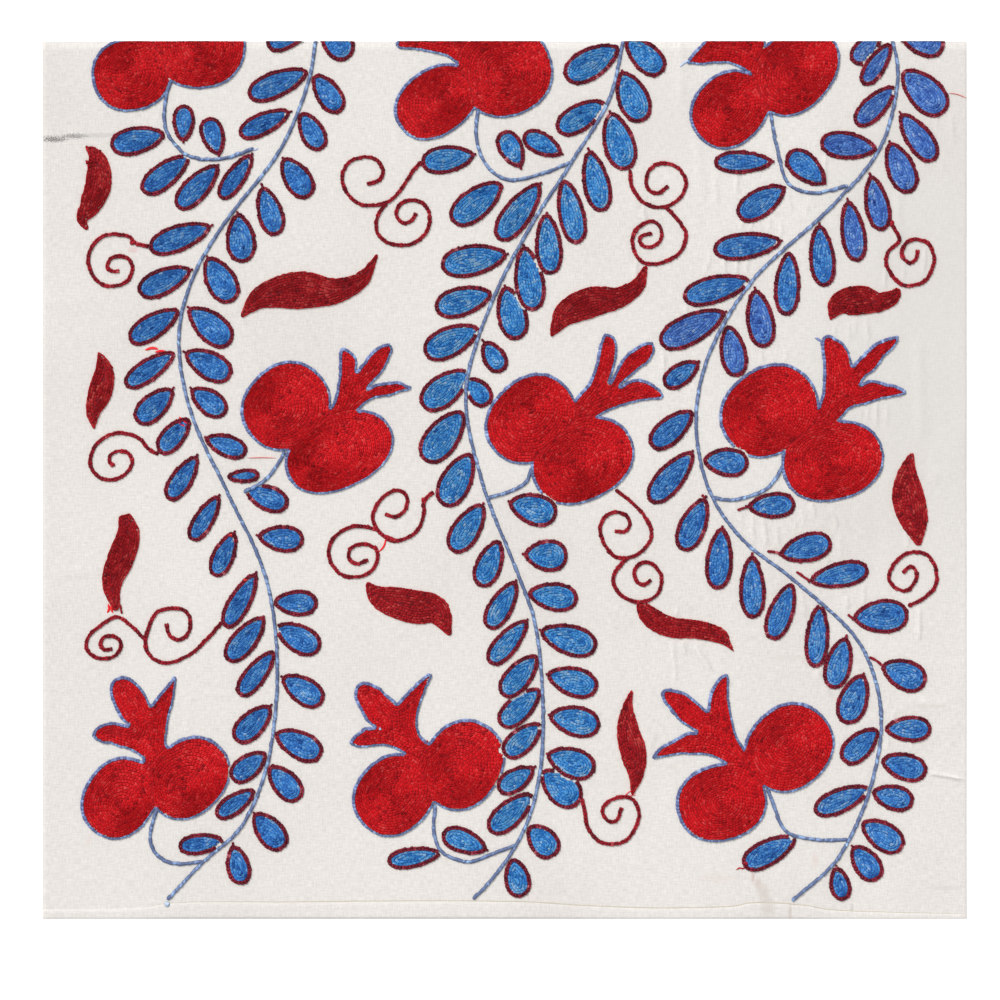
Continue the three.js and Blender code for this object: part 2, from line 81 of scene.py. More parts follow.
# The three vines. Each stem runs from the cut top edge down to its end
# above the hem.
LEAF_COLUMNS = "base_x base_y tip_x tip_y width"
VINES = [
  {
    "name": "vine_left",
    "stem": """316,36 309,79 281,148 228,218 196,270 180,322 181,371 194,422
           228,494 266,579 277,671 266,769 240,828 202,863 168,899""",
    "stalks": [
      "157,808 150,834 153,850 163,860 177,864 202,862",
    ],
    "leaves": table(LEAF_COLUMNS, """
      308 71 248 96 28
      290 111 239 135 24
      211 226 149 249 28
      191 269 138 293 28
      179 310 129 341 27
      175 352 125 386 24
      173 389 136 422 28
      189 418 159 453 25
      197 456 168 500 24
      219 495 191 541 22
      234 532 214 577 24
      256 573 225 628 24
      264 617 227 661 27
      274 651 239 696 24
      271 706 235 741 28
      266 753 231 780 26
      255 790 216 817 22
      224 841 178 847 22
      314 74 341 112 27
      301 112 322 150 26
      283 158 310 197 29
      262 186 277 236 27
      238 213 243 263 31
      207 257 233 302 32
      189 308 231 344 32
      185 352 231 377 30
      191 389 226 414 27
      205 438 247 453 24
      226 477 260 475 15
      258 536 304 541 28
      273 602 318 604 27
      276 626 320 650 30
      282 677 323 703 29
      275 733 322 756 30
      269 766 300 800 28
      254 813 284 849 29
      233 845 243 885 25"""),
  },
  {
    "name": "vine_middle",
    "stem": """624,36 610,97 571,163 530,227 492,301 469,370 466,409 484,488
           517,572 535,624 543,719 537,789 519,840 487,885 474,898""",
    "stalks": [
      "478,107 476,134 481,156 494,173 511,180 544,173 571,162",
      "532,460 530,474 525,483 511,491 488,498",
      "435,806 434,834 441,851 454,859 471,862 490,855 514,846",
    ],
    "leaves": table(LEAF_COLUMNS, """
      626 38 663 73 30
      622 71 643 122 33
      610 112 627 170 33
      589 150 603 212 28
      564 179 578 244 28
      546 213 551 275 28
      524 246 534 311 31
      505 286 518 340 31
      484 341 503 372 24
      467 378 489 405 25
      509 502 557 516 33
      524 554 568 557 33
      528 593 578 600 30
      540 631 597 648 32
      547 674 598 689 31
      549 715 600 727 32
      547 754 595 771 32
      542 771 579 804 34
      529 826 556 856 30
      513 858 521 898 27
      619 47 565 78 33
      605 102 557 131 29
      521 167 502 131 26
      562 154 523 134 24
      475 155 421 163 29
      502 183 452 222 33
      540 183 498 240 30
      507 254 441 266 33
      492 293 435 309 31
      479 328 424 354 32
      469 371 422 407 33
      463 411 424 461 35
      471 453 443 506 33
      483 504 452 552 30
      499 540 480 587 28
      516 581 488 629 26
      527 620 489 664 25
      537 655 502 696 28
      540 689 500 726 28
      541 724 504 756 27
      534 768 498 791 25
      533 794 489 832 28
      487 850 442 833 26
      441 853 387 862 22"""),
  },
  {
    "name": "vine_right",
    "stem": """892,36 898,76 880,148 828,210 753,280 707,360 696,425 710,492
           742,539 796,582 860,644 881,711 871,786 836,861 793,900""",
    "stalks": [
      "770,107 774,134 779,156 785,178 794,188 815,193 847,186",
      "783,453 782,466 776,478 766,489 750,496 730,500 711,497",
      "768,790 774,806 780,823 788,833 799,837 817,840 846,840",
    ],
    "leaves": table(LEAF_COLUMNS, """
      903 70 945 113 36
      901 113 935 161 28
      890 142 911 193 30
      871 175 883 231 26
      848 200 858 262 26
      819 224 825 287 27
      789 251 786 316 27
      755 289 765 348 29
      728 325 738 377 28
      703 460 749 464 30
      748 507 796 504 27
      780 555 832 541 30
      810 581 869 569 27
      853 618 909 615 35
      882 665 926 684 32
      885 729 932 729 27
      881 760 927 773 29
      872 792 914 803 27
      862 822 903 849 30
      853 846 879 880 28
      836 867 844 901 22
      891 43 863 85 22
      895 86 856 125 25
      877 149 820 142 29
      825 184 788 152 29
      773 162 714 162 24
      785 187 738 217 30
      782 241 713 250 28
      750 280 683 298 29
      725 312 660 344 32
      699 362 664 386 24
      693 411 651 447 28
      693 452 650 502 29
      705 498 682 551 29
      722 527 717 590 28
      752 555 753 619 27
      792 583 771 640 27
      820 604 815 668 25
      846 637 832 689 28
      863 674 845 724 31
      878 729 843 762 28
      870 788 814 812 26
      796 838 743 866 28"""),
  },
]

# Two fruit stalks that stop short of the vine, with the leaves they carry.
BRANCHES = [
  {
    "name": "branch_top_left",
    "stem": "171,80 165,102 165,126 173,142 189,156 221,159 252,149",
    "stalks": [],
    "leaves": table(LEAF_COLUMNS, """
      165 134 110 146 29
      183 142 184 104 23
      219 155 207 117 25
      189 156 142 192 27
      218 165 177 208 27
      252 154 220 199 22"""),
  },
  {
    "name": "branch_middle_left",
    "stem": "284,452 279,462 268,477 256,486 245,491",
    "stalks": [],
    "leaves": table(LEAF_COLUMNS, """
      245 489 288 506 27"""),
  },
]

# Leaves that grow from beyond the cut top edge.
TOP_LEAVES = table(LEAF_COLUMNS, """
  312 22 267 47 26
  322 25 350 58 30
  880 33 853 63 24
  898 30 944 50 30""")

# Pomegranates: two tilted round lobes and a crown. Long and short are half
# the lobe's length and width, tilt is in degrees. The crown runs from one
# lobe round its tips and notches to the other, and back inside both.
LOBE_COLUMNS = "x y long short tilt"
POMEGRANATES = [
  {
    "name": "pomegranate_top_left",
    "lobes": table(LOBE_COLUMNS, """
      131 74 40 37.5 10
      199 44 47 45 0"""),
    "crown": """128,62 140,20 200,20 190,62""",
  },
  {
    "name": "pomegranate_top_middle",
    "lobes": table(LOBE_COLUMNS, """
      436 101.5 44.8 34 35
      505 71 48 46 20"""),
    "crown": """457,65 455,63 451,60 447,57 440,54.5 431,53 421,50.5 412,49.7
           403,49.5 395,47.5 396,41 402,30 476.5,30 476.5,50 475,56 480,80 460,90""",
  },
  {
    "name": "pomegranate_top_right",
    "lobes": table(LOBE_COLUMNS, """
      729.5 109 42 36.4 45
      795 70 50 39 50"""),
    "crown": """753,77 748,73 742,69.5 736,66 730,64 722,63.5 711,64 700,65
           690,64 681,67 687,60 691,54 697,48 703,41 712,30 766,30 766,41
           767,50 770,56 780,80 760,95""",
  },
  {
    "name": "pomegranate_middle_left",
    "lobes": table(LOBE_COLUMNS, """
      285.5 405.7 46.8 41.4 45
      339 452 57.5 37 25"""),
    "crown": """331,406 335,395 337,384 338.5,375 338.5,362 339,347 346,347.5
           351,351 355,355 357.5,362 356.5,371 360,366 364,361 368,355 373,350
           379,346 385,343 391,343 393,351 390,358 387,365 383,372 378,378
           374,382 368,388 374,384 382,382.5 392,381 400,381 406,384 414,387.5
           410,390 402,392 393,395 385,397 377,398 370,401 364,405 356,413
           340,430 320,425""",
  },
  {
    "name": "pomegranate_middle",
    "lobes": table(LOBE_COLUMNS, """
      530 418.5 49 40 45
      582.5 460.5 54 40.5 27"""),
    "crown": """574,400 578,394 583,389 588,383 592,374 595,365 597,355 599,345
           604,332.5 609,333 615,338 617,345 617,355 614,369 609.5,382 613,375
           617,367 621,360 627,353 634,348 641,344 647,341 654,342.5 655,350
           652,358 647,364 641,368 634,374 628,379 620,386 626,382 632,379
           640,378.5 648,381 655,385 661,390 664.5,396 662,400 653,400
           643,401 633,403 623,406 614,409 605,413 593,420 585,440 560,425""",
  },
  {
    "name": "pomegranate_middle_right",
    "lobes": table(LOBE_COLUMNS, """
      769 410.5 51.6 43.6 36
      832.5 461 52 40 14"""),
    "crown": """817,408 820,400 822,392 823,376 822.5,360 821,350 821,338
           826,334.5 831,334.5 836,338 841,340 846,346 850,353 852.5,365
           857,360 862,355 868,349 875,343 882,339.5 889,337 900,335.5
           899,341 895,347 889,353 883,359 878,367 872,373 866,377 861,384
           868,380 877,380 886,383 894,384 901,387 910,393.5 905,395 895,397
           884,399 874,402 864,405 855,407 849,410 845,415 837,423
           830,440 800,425""",
  },
  {
    "name": "pomegranate_bottom_left",
    "lobes": table(LOBE_COLUMNS, """
      119.5 798 43 36.3 56
      188 778 45.4 37.2 45"""),
    "crown": """166,743 167,735 168,725 170,714 173,704 175,692 176,682 178,674
           180.5,669.5 175,674 168,683 160,692 154,700 150.5,705 147,697
           143,690 137,683 130,677.5 123,675.5 116,677.5 111,682 109,689
           110,697 113,705 117,713 121,720 128,725 116,722 107,722 100,725
           95,728 92,733 90.5,736 94,739 101,743 110,744 118,747 126,749
           133,752 143,759 140,780 172,770""",
  },
  {
    "name": "pomegranate_bottom_middle",
    "lobes": table(LOBE_COLUMNS, """
      394 795 43.7 38.7 45
      462 765 47.3 40 59"""),
    "crown": """423,738 419,732 417.5,725 418.5,714 421,704 425,693 429,683
           432,678 433,673 430,672 425,675 418,681 411,688 404,695 397,703
           393,699 386,693.5 381,688 374,684 367,681.5 360,682 356,686
           354,692 354,699 357,705 361,713 365,720 370,725 374,727 368,727
           363,727 360,731 354,735 350,740 347,743 353,746 361,748 372,747
           383,746 392,748 404,754 405,775 435,765""",
  },
  {
    "name": "pomegranate_bottom_right",
    "lobes": table(LOBE_COLUMNS, """
      721.5 802.5 46 39 15
      789 747.5 46.9 41.9 45"""),
    "crown": """746,750 741,743 737,736 734,725 732,715 730,705 729,697
           729,685 729,673 724,674 719,677 714,684 710,692 708,700 707,710
           699,703 692,697 685,692 678,690 671,688.5 662,689 661,694 663,702
           669,709 675,717 681,723 689,728 696,732 689,731 681,735 671,741
           661,746 655,752 650,761 657,759 668,757 680,755 692,755 703,755
           712,757 720,761 727,766 735,785 760,770""",
  },
]

# Curved solid leaves: stations along the middle line and the width there.
BLADE_COLUMNS = "x y width"
BLADES = [
  table(BLADE_COLUMNS, """
    88 145 2
    97 160 20
    98 185 27
    90 205 22
    82 220 11
    90 232 1"""),
  table(BLADE_COLUMNS, """
    98 350 1
    104 372 20
    99 395 24
    93 412 15
    94 430 2"""),
  table(BLADE_COLUMNS, """
    124 514 12
    128 535 24
    120 560 27
    112 582 21
    116 611 7"""),
  table(BLADE_COLUMNS, """
    239 319 1
    262 297 24
    300 290 38
    335 291 26
    362 279 16
    378 253 2"""),
  table(BLADE_COLUMNS, """
    365 581 1
    380 597 24
    410 606 34
    435 611 30
    451 637 2"""),
  table(BLADE_COLUMNS, """
    550 338 1
    567 313 26
    592 302 31
    620 297 21
    638 285 15
    646 265 4"""),
  table(BLADE_COLUMNS, """
    639 600 3
    643 608 15
    652 618 21
    670 627 21
    700 630 19
    720 636 16
    729 645 6
    737 655 1"""),
  table(BLADE_COLUMNS, """
    634 686 1
    628 705 10
    628 730 23
    634 755 26
    636 775 16
    632 796 2"""),
  table(BLADE_COLUMNS, """
    829 321 1
    840 304 24
    860 300 30
    880 302 20
    894 296 14
    899 288 6"""),
  table(BLADE_COLUMNS, """
    913 450 1
    908 470 18
    908 495 33
    914 520 29
    919 546 5"""),
]

# Tendrils: one or two curling routes each.
TENDRILS = [
  ["""149,246 135,243 130,237 116,234 101,237 91,248 88,260 92,274 101,284
    114,286 126,282 132,271 130,260 121,256 110,259 107,267 111,271 119,271"""],
  ["""158,454 148,449 139,438 119,433 103,438 92,451 90,464 97,476 111,480
    124,475 132,464 129,454 120,451 111,454 109,461 113,466"""],
  ["""222,622 207,639 189,655 166,663 150,656 145,642 148,630 156,613 167,609
    181,609 189,616 190,628 185,637 177,640 169,635 166,624""",
   """145,640 131,626 117,617 100,626 87,639 87,650 97,658 110,658 120,650
    120,641 113,636 104,637 100,644 104,650 112,649"""],
  ["""421,162 412,172 404,185 392,199 376,205 360,204 347,193 342,177 349,162
    365,157 377,160 383,171 379,180 367,184""",
   """386,204 379,213 376,225 380,237 392,244 411,244 425,234 430,217 424,204
    411,200 400,204 396,215 403,223 411,221 416,213"""],
  ["""433,492 424,501 424,512 419,528 409,537 393,541 384,536 376,528 373,514
    382,498 398,490 407,497 405,510 395,517 385,514""",
   """378,530 357,526 339,533 329,547 331,563 342,575 355,577 369,573 377,561
    376,549 363,544 350,549 349,559 358,564 368,560"""],
  ["""630,170 632,186 642,201 656,207 670,205 683,194 686,180 677,167 661,163
    650,169 646,180 650,191 659,193 668,186""",
   """665,206 678,220 686,233 682,250 669,260 654,264 641,261 634,250 633,236
    641,225 653,221 661,228 661,239 652,247 642,245 640,237 652,233"""],
  ["""616,490 629,500 643,514 651,528 651,539 643,550 632,557 616,557 605,545
    600,531 604,518 615,512 627,516 630,525 624,532 615,531""",
   """629,557 618,568 613,579 618,592 629,600 642,602 656,596 662,579 656,567
    645,562 635,569 636,580 643,585 651,580"""],
  ["""581,797 585,812 587,826 597,840 608,844 624,842 635,829 639,812 632,799
    621,797 608,802 602,812 608,821 616,821 622,808"""],
  ["""891,223 898,235 900,240 889,251 886,262 892,275 903,285 915,285 926,280
    933,267 934,255 928,243 915,239 905,244 902,255 910,263 917,258 918,250"""],
  ["""909,606 924,598 935,587 936,569 927,555 916,552 904,555 893,566 889,579
    896,588 906,591 914,584 917,573 911,566 903,573"""],
]

# The fold line of the hem, from the left edge of the cloth to the right.
HEM_LINE = """42,910 137,908 172,903 292,902 392,901 471,901 530,902 560,904
  594,906 650,908 674,908 720,907 735,906 750,903 775,903 790,904 800,905
  810,906 824,909 850,911 880,912 967,914"""

# Soft swells of the ground cloth between the motifs: both ends and the width
# in chart steps, and the height as a share of SWELL_RISE.
SWELLS = table("x0 y0 x1 y1 width height", """
  919 346 921 432 13 0.5
  898 199 899 238 10 0.5
  697 140 703 190 12 0.4
  680 45 681 97 11 0.5
  905 703 950 704 9 0.4
  912 743 957 724 9 0.35
  50 302 92 303 11 0.35
  58 574 92 574 8 0.3""")

# Narrow creases pulled in by the stitching: both ends and the width in chart
# steps, and the height as a share of CREASE_RISE.
CREASES = table("x0 y0 x1 y1 width height", """
  714 174 718 207 8 0.7
  737 174 737 191 5 0.9
  787 190 792 214 5 0.5
  805 205 808 217 5 0.6
  769 217 770 229 5 0.7
  781 219 782 237 4 0.6
  751 219 752 227 4 0.7
  741 218 742 227 4 0.6
  724 256 725 275 5 0.9
  737 256 737 275 5 0.9
  747 257 747 274 5 0.6
  711 257 705 270 5 0.6
  685 303 687 311 4 0.7
  825 155 825 184 4 1.0
  643 209 645 220 4 0.8
  636 264 636 275 4 0.7
  604 268 604 288 5 0.4
  885 272 885 288 4 0.8
  925 250 924 273 5 0.7
  904 266 904 278 4 0.5
  848 326 850 341 5 0.6
  855 322 856 332 4 0.5
  866 321 869 340 5 0.8
  835 324 835 334 4 0.6
  951 114 954 144 6 0.5
  936 116 937 128 5 0.5
  942 159 943 170 5 0.4
  924 160 924 170 4 0.4
  861 408 861 418 4 0.5
  868 406 868 421 4 0.7
  876 403 877 424 5 0.9
  887 404 887 425 5 0.5
  762 351 762 363 4 0.7
  786 351 786 364 4 0.7
  663 350 664 374 5 0.9
  752 516 754 542 5 0.9
  763 518 767 544 5 1.1
  776 526 779 544 5 0.7
  741 513 742 526 5 0.6
  795 522 796 531 4 0.6
  811 500 815 516 5 0.9
  801 509 805 522 5 0.6
  822 506 834 512 5 0.7
  834 512 837 529 5 0.9
  839 533 842 557 7 0.5
  827 556 827 564 4 0.6
  846 597 848 609 5 0.9
  864 584 864 604 6 0.5
  801 594 806 616 6 0.7
  919 607 920 642 5 1.0
  906 532 909 543 4 0.9
  920 471 947 482 7 0.6
  663 589 673 593 5 0.6
  673 593 693 611 5 0.9
  677 608 677 616 4 0.7
  672 641 677 684 5 0.8
  682 642 686 652 5 0.9
  694 643 713 672 5 1.3
  815 670 832 697 5 1.2
  648 731 656 740 6 0.6
  643 723 652 747 5 0.4
  896 710 892 720 4 0.7
  888 737 888 751 5 0.7
  116 101 116 126 6 0.3
  340 321 340 341 6 0.3
  379 311 379 341 6 0.4
  231 585 231 605 6 0.3
  394 620 401 638 4 0.6
  189 690 189 730 7 0.3
  928 773 967 780 4 1.2""")

# Marks on the face of the cloth, none on its back: middle and reach in chart
# steps, colour, strength, and how ragged and how fine their edge is. The first
# row is painted shade over the right side, and the four rows from 753 877 to
# 768 907 are a fold's painted shadow; the others are stains, smudges and marks.
MARKS_AND_SHADE = table("x y reach_x reach_y red green blue strength ragged fineness", """
  930 330 150 320 218 215 211 0.55 0.5 14.0
  640 120 90 60 222 218 214 0.3 0.5 20.0
  54 139 14 3.5 62 62 66 0.75 5.0 1700.0
  74 136 15 3.0 84 84 88 0.65 5.0 1700.0
  100 135 26 3 170 168 170 0.3 2.2 900.0
  753 877 2.5 7 200 160 152 0.5 0.5 200.0
  758 884 4.5 8 205 184 176 0.45 0.5 200.0
  764 893 7 10 205 192 185 0.5 0.5 200.0
  768 907 9 12 204 194 188 0.55 0.5 200.0
  790 911 2.2 10 200 188 180 0.55 0.6 300.0
  852 908 2.5 6 196 190 186 0.5 0.6 300.0
  815 861 5 11 226 208 203 0.4 0.8 200.0
  945 888 22 3 214 204 200 0.35 1.2 300.0
  930 706 24 3 216 208 202 0.35 1.0 200.0
  830 519 9 9 214 208 204 0.35 1.0 200.0
  673 767 7 5 222 212 208 0.3 1.2 300.0
  790 658 22 4 218 212 206 0.35 1.0 200.0
  718 878 22 5 226 206 200 0.25 1.6 420.0
  88 841 4 7 226 196 192 0.25 1.6 420.0
  133 250 6 4 226 160 164 0.4 1.6 420.0
  630 391 4 6 190 170 178 0.4 1.6 420.0
  382 546 7 5 232 196 196 0.3 1.6 420.0""")


# Curves in the plan.
def smooth(points, spacing):
    """A centripetal curve through the points, at short even steps."""
    ends = [2 * points[0] - points[1]], [2 * points[-1] - points[-2]]
    p = np.vstack([ends[0], points, ends[1]])
    knots = np.r_[0, np.cumsum(np.sqrt(np.linalg.norm(np.diff(p, axis=0), axis=1)) + 1e-9)]
    pieces = []
    for i in range(1, len(p) - 2):
        k0, k1, k2, k3 = knots[i - 1:i + 3]
        count = max(int(np.linalg.norm(p[i + 1] - p[i]) / spacing), 2)
        t = np.linspace(k1, k2, count, endpoint=False)[:, None]
        a = p[i - 1] + (p[i] - p[i - 1]) * (t - k0) / (k1 - k0)
        b = p[i] + (p[i + 1] - p[i]) * (t - k1) / (k2 - k1)
        c = p[i + 1] + (p[i + 2] - p[i + 1]) * (t - k2) / (k3 - k2)
        d = a + (b - a) * (t - k0) / (k2 - k0)
        e = b + (c - b) * (t - k1) / (k3 - k1)
        pieces.append(d + (e - d) * (t - k1) / (k2 - k1))
    return np.vstack(pieces + [p[-2:-1]])


def smooth_between_corners(points, spacing, sharpest=48):
    """Smooths each stretch between corners that turn by more than sharpest degrees."""
    step = np.diff(points, axis=0)
    heading = np.unwrap(np.arctan2(step[:, 1], step[:, 0]))
    turns = np.abs(np.degrees(np.diff(heading)))
    turns = np.minimum(turns, 360 - turns)
    corners = [0, *(np.nonzero(turns > sharpest)[0] + 1), len(points) - 1]
    stretches = []
    for a, b in zip(corners[:-1], corners[1:]):
        stretch = points[a:b + 1]
        stretches.append((smooth(stretch, spacing) if len(stretch) > 2 else stretch)[:-1])
    return np.vstack(stretches + [points[-1:]])


def along(line, closed=False):
    """The line without doubled points, and the length run at each."""
    if closed:
        line = np.vstack([line, line[:1]])
    steps = np.linalg.norm(np.diff(line, axis=0), axis=1)
    line = line[np.r_[True, steps > 1e-6]]
    run = np.r_[0, np.cumsum(np.linalg.norm(np.diff(line, axis=0), axis=1))]
    return line, run


def at_runs(line, run, where):
    return np.c_[np.interp(where, run, line[:, 0]), np.interp(where, run, line[:, 1])]


def depth_inside(points, outline):
    """How far each point lies inside a closed outline, negative outside."""
    a, b = outline, np.roll(outline, -1, axis=0)
    edge = b - a
    size = np.maximum((edge ** 2).sum(1), 1e-12)
    depth = np.empty(len(points))
    for start in range(0, len(points), 4000):
        p = points[start:start + 4000, None]
        t = np.clip(((p - a) * edge).sum(2) / size, 0, 1)
        gap = np.sqrt(((p - a - t[..., None] * edge) ** 2).sum(2)).min(1)
        straddles = (a[:, 1] > p[..., 1]) != (b[:, 1] > p[..., 1])
        rise = np.where(np.abs(edge[:, 1]) < 1e-12, 1e-12, edge[:, 1])
        cut = a[:, 0] + (p[..., 1] - a[:, 1]) * edge[:, 0] / rise
        inside = (straddles & (p[..., 0] < cut)).sum(1) % 2 == 1
        depth[start:start + 4000] = np.where(inside, gap, -gap)
    return depth


def distance_to(points, line):
    """How far each point is from an open line."""
    a, edge = line[:-1], np.diff(line, axis=0)
    size = np.maximum((edge ** 2).sum(1), 1e-12)
    gaps = []
    for start in range(0, len(points), 4000):
        p = points[start:start + 4000, None]
        t = np.clip(((p - a) * edge).sum(2) / size, 0, 1)
        gaps.append(np.sqrt(((p - a - t[..., None] * edge) ** 2).sum(2)).min(1))
    return np.concatenate(gaps)


def grid_over(outline, cell, margin=2):
    low, high = outline.min(0) - margin, outline.max(0) + margin
    xs = np.arange(low[0], high[0] + cell, cell)
    ys = np.arange(low[1], high[1] + cell, cell)
    return low, len(xs), len(ys), np.stack(np.meshgrid(xs, ys), -1).reshape(-1, 2)


# For each pattern of corners above the level, the pairs of cell sides that the
# line joins: 0 lower, 1 right, 2 upper, 3 left.
CELL_SIDES = {1: [(3, 0)], 2: [(0, 1)], 3: [(3, 1)], 4: [(1, 2)], 5: [(3, 0), (1, 2)], 6: [(0, 2)],
              7: [(3, 2)], 8: [(2, 3)], 9: [(0, 2)], 10: [(0, 1), (2, 3)], 11: [(1, 2)], 12: [(1, 3)],
              13: [(0, 1)], 14: [(0, 3)]}


def contours(field, low, cell, level):
    """The lines where a field on a grid crosses a level: (points, whether closed)."""
    v = field - level
    v = np.where(v == 0, 1e-9, v)
    with np.errstate(divide="ignore", invalid="ignore"):
        sideways = v[:, :-1] / (v[:, :-1] - v[:, 1:])
        upward = v[:-1] / (v[:-1] - v[1:])
    up = v > 0
    kind = up[:-1, :-1] + 2 * up[:-1, 1:] + 4 * up[1:, 1:] + 8 * up[1:, :-1]
    joined = {}
    for j, i in zip(*np.nonzero((kind > 0) & (kind < 15))):
        sides = ((0, j, i), (1, j, i + 1), (0, j + 1, i), (1, j, i))
        for s, t in CELL_SIDES[kind[j, i]]:
            joined.setdefault(sides[s], []).append(sides[t])
            joined.setdefault(sides[t], []).append(sides[s])

    def spot(side):
        upright, j, i = side
        if upright:
            return low[0] + i * cell, low[1] + (j + upward[j, i]) * cell
        return low[0] + (i + sideways[j, i]) * cell, low[1] + j * cell

    lines, done = [], set()
    for start in [k for k, n in joined.items() if len(n) == 1] + list(joined):
        if start in done:
            continue
        path = [start]
        done.add(start)
        while True:
            onward = [n for n in joined[path[-1]] if n not in done]
            if not onward:
                break
            path.append(onward[0])
            done.add(onward[0])
        if len(path) > 3:
            closed = path[0] in joined[path[-1]]
            lines.append((np.array([spot(side) for side in path]), closed))
    return lines


def kept_runs(line, closed, keep):
    """The stretches of a line where keep holds, as (points, whether closed)."""
    if keep.all():
        return [(line, closed)]
    if not keep.any():
        return []
    if closed:
        first = int(np.nonzero(~keep)[0][0])
        line, keep = np.roll(line, -first, axis=0), np.roll(keep, -first)
    edges = np.flatnonzero(np.diff(np.r_[0, keep.astype(int), 0]))
    return [(line[a:b], False) for a, b in zip(edges[::2], edges[1::2]) if b - a > 1]


# The surface of the cloth.
def value_noise(x, y, seed):
    """Smooth noise from -1 to 1, one lattice step a unit."""
    ix, iy = np.floor(x).astype(np.int64), np.floor(y).astype(np.int64)
    fx, fy = x - ix, y - iy
    fx, fy = fx * fx * (3 - 2 * fx), fy * fy * (3 - 2 * fy)

    def lattice(a, b):
        n = (a * 73856093) ^ (b * 19349663) ^ (seed * 83492791)
        n = ((n ^ (n >> 13)) * 1274126177) & 0x7FFFFFFF
        return (n ^ (n >> 16)) % 65536 / 32767.5 - 1

    low = lattice(ix, iy) * (1 - fx) + lattice(ix + 1, iy) * fx
    high = lattice(ix, iy + 1) * (1 - fx) + lattice(ix + 1, iy + 1) * fx
    return low * (1 - fy) + high * fy


def eased(x, low, high):
    t = np.clip((x - low) / (high - low), 0, 1)
    return t * t * (3 - 2 * t)


HEM = smooth(route(HEM_LINE), 4)


def surface(x, y):
    """Height of the ground cloth above the floor, in steps."""
    height = np.full(np.shape(x), CLOTH_TOP, float)
    loose = 0.35 + 0.65 * eased(x, -150, 250)
    height += 0.34 * loose * value_noise(x / 26, y / 70, 3)
    height += 0.20 * loose * value_noise(x / 12 + 0.2 * value_noise(x / 30, y / 60, 5), y / 44, 4)
    height += 0.07 * value_noise(x / 55, y / 24, 6)
    for swell in SWELLS:
        a, b = place(swell["x0"], swell["y0"]), place(swell["x1"], swell["y1"])
        line = b - a
        length = np.hypot(*line)
        unit = line / length
        u = (x - a[0]) * unit[0] + (y - a[1]) * unit[1]
        v = (x - a[0]) * -unit[1] + (y - a[1]) * unit[0]
        over = np.maximum(np.maximum(-u, u - length), 0)
        spread = np.hypot(v, over) / (0.5 * swell["width"])
        height += SWELL_RISE * swell["height"] * np.exp(-1.2 * spread ** 2)
    for crease in CREASES:
        a, b = place(crease["x0"], crease["y0"]), place(crease["x1"], crease["y1"])
        reach = 1.6 * crease["width"]
        low, high = np.minimum(a, b) - reach, np.maximum(a, b) + reach
        near = np.nonzero((x > low[0]) & (x < high[0]) & (y > low[1]) & (y < high[1]))
        line = b - a
        length = np.hypot(*line)
        u = ((x[near] - a[0]) * line[0] + (y[near] - a[1]) * line[1]) / length
        v = ((x[near] - a[0]) * -line[1] + (y[near] - a[1]) * line[0]) / length
        ends = eased(u, -0.25 * reach, 0.25 * length)
        ends *= 1 - eased(u, 0.75 * length, length + 0.25 * reach)
        height[near] += CREASE_RISE * crease["height"] * ends * np.exp(-(v / (0.36 * crease["width"])) ** 2)
    hem_y = np.interp(x, HEM[:, 0], HEM[:, 1])
    height += HEM_RISE * eased(hem_y - y, -0.6, 2.2)
    return height


# Outlines of the motifs.
def almond(leaf, inset=0.0, count=34):
    """A leaf's closed outline, pointed at its base and round at its tip."""
    base, tip = place(leaf["base_x"], leaf["base_y"]), place(leaf["tip_x"], leaf["tip_y"])
    unit = (tip - base) / np.hypot(*(tip - base))
    base, tip = base + 0.8 * inset * unit, tip - inset * unit
    half = leaf["width"] / 2 - inset
    t = (1 - np.cos(np.pi * np.arange(count + 1) / count)) / 2
    widest = LEAF_POINT / (LEAF_POINT + LEAF_ROUND)
    peak = widest ** LEAF_POINT * (1 - widest) ** LEAF_ROUND
    reach = half * t ** LEAF_POINT * (1 - t) ** LEAF_ROUND / peak
    across = np.array([-unit[1], unit[0]])
    middle = base + t[:, None] * (tip - base)
    left, right = middle + reach[:, None] * across, middle - reach[:, None] * across
    return np.vstack([left, right[-2:0:-1]])


def lobe_outline(lobe, count=90):
    """A lobe's closed outline: a tilted oval with full shoulders."""
    angle = 2 * np.pi * np.arange(count) / count
    c, s = np.cos(angle), np.sin(angle)
    u = lobe["long"] * np.sign(c) * np.abs(c) ** (2 / 2.2)
    v = lobe["short"] * np.sign(s) * np.abs(s) ** (2 / 2.2)
    tilt = np.radians(lobe["tilt"])
    turn = np.array([[np.cos(tilt), np.sin(tilt)], [-np.sin(tilt), np.cos(tilt)]])
    return place(lobe["x"], lobe["y"]) + np.c_[u, v] @ turn


def blade_line(rows, spacing=1.5):
    """A curved leaf's middle line and its half width there."""
    nodes = np.array([[*place(r["x"], r["y"]), r["width"]] for r in rows])
    line = smooth(nodes, spacing)
    return line[:, :2], np.maximum(line[:, 2], 0.8) / 2


def ribbon(line, half):
    heading = np.gradient(line, axis=0)
    heading /= np.linalg.norm(heading, axis=1)[:, None]
    across = np.c_[-heading[:, 1], heading[:, 0]] * half[:, None]
    return np.vstack([line + across, (line - across)[::-1]])
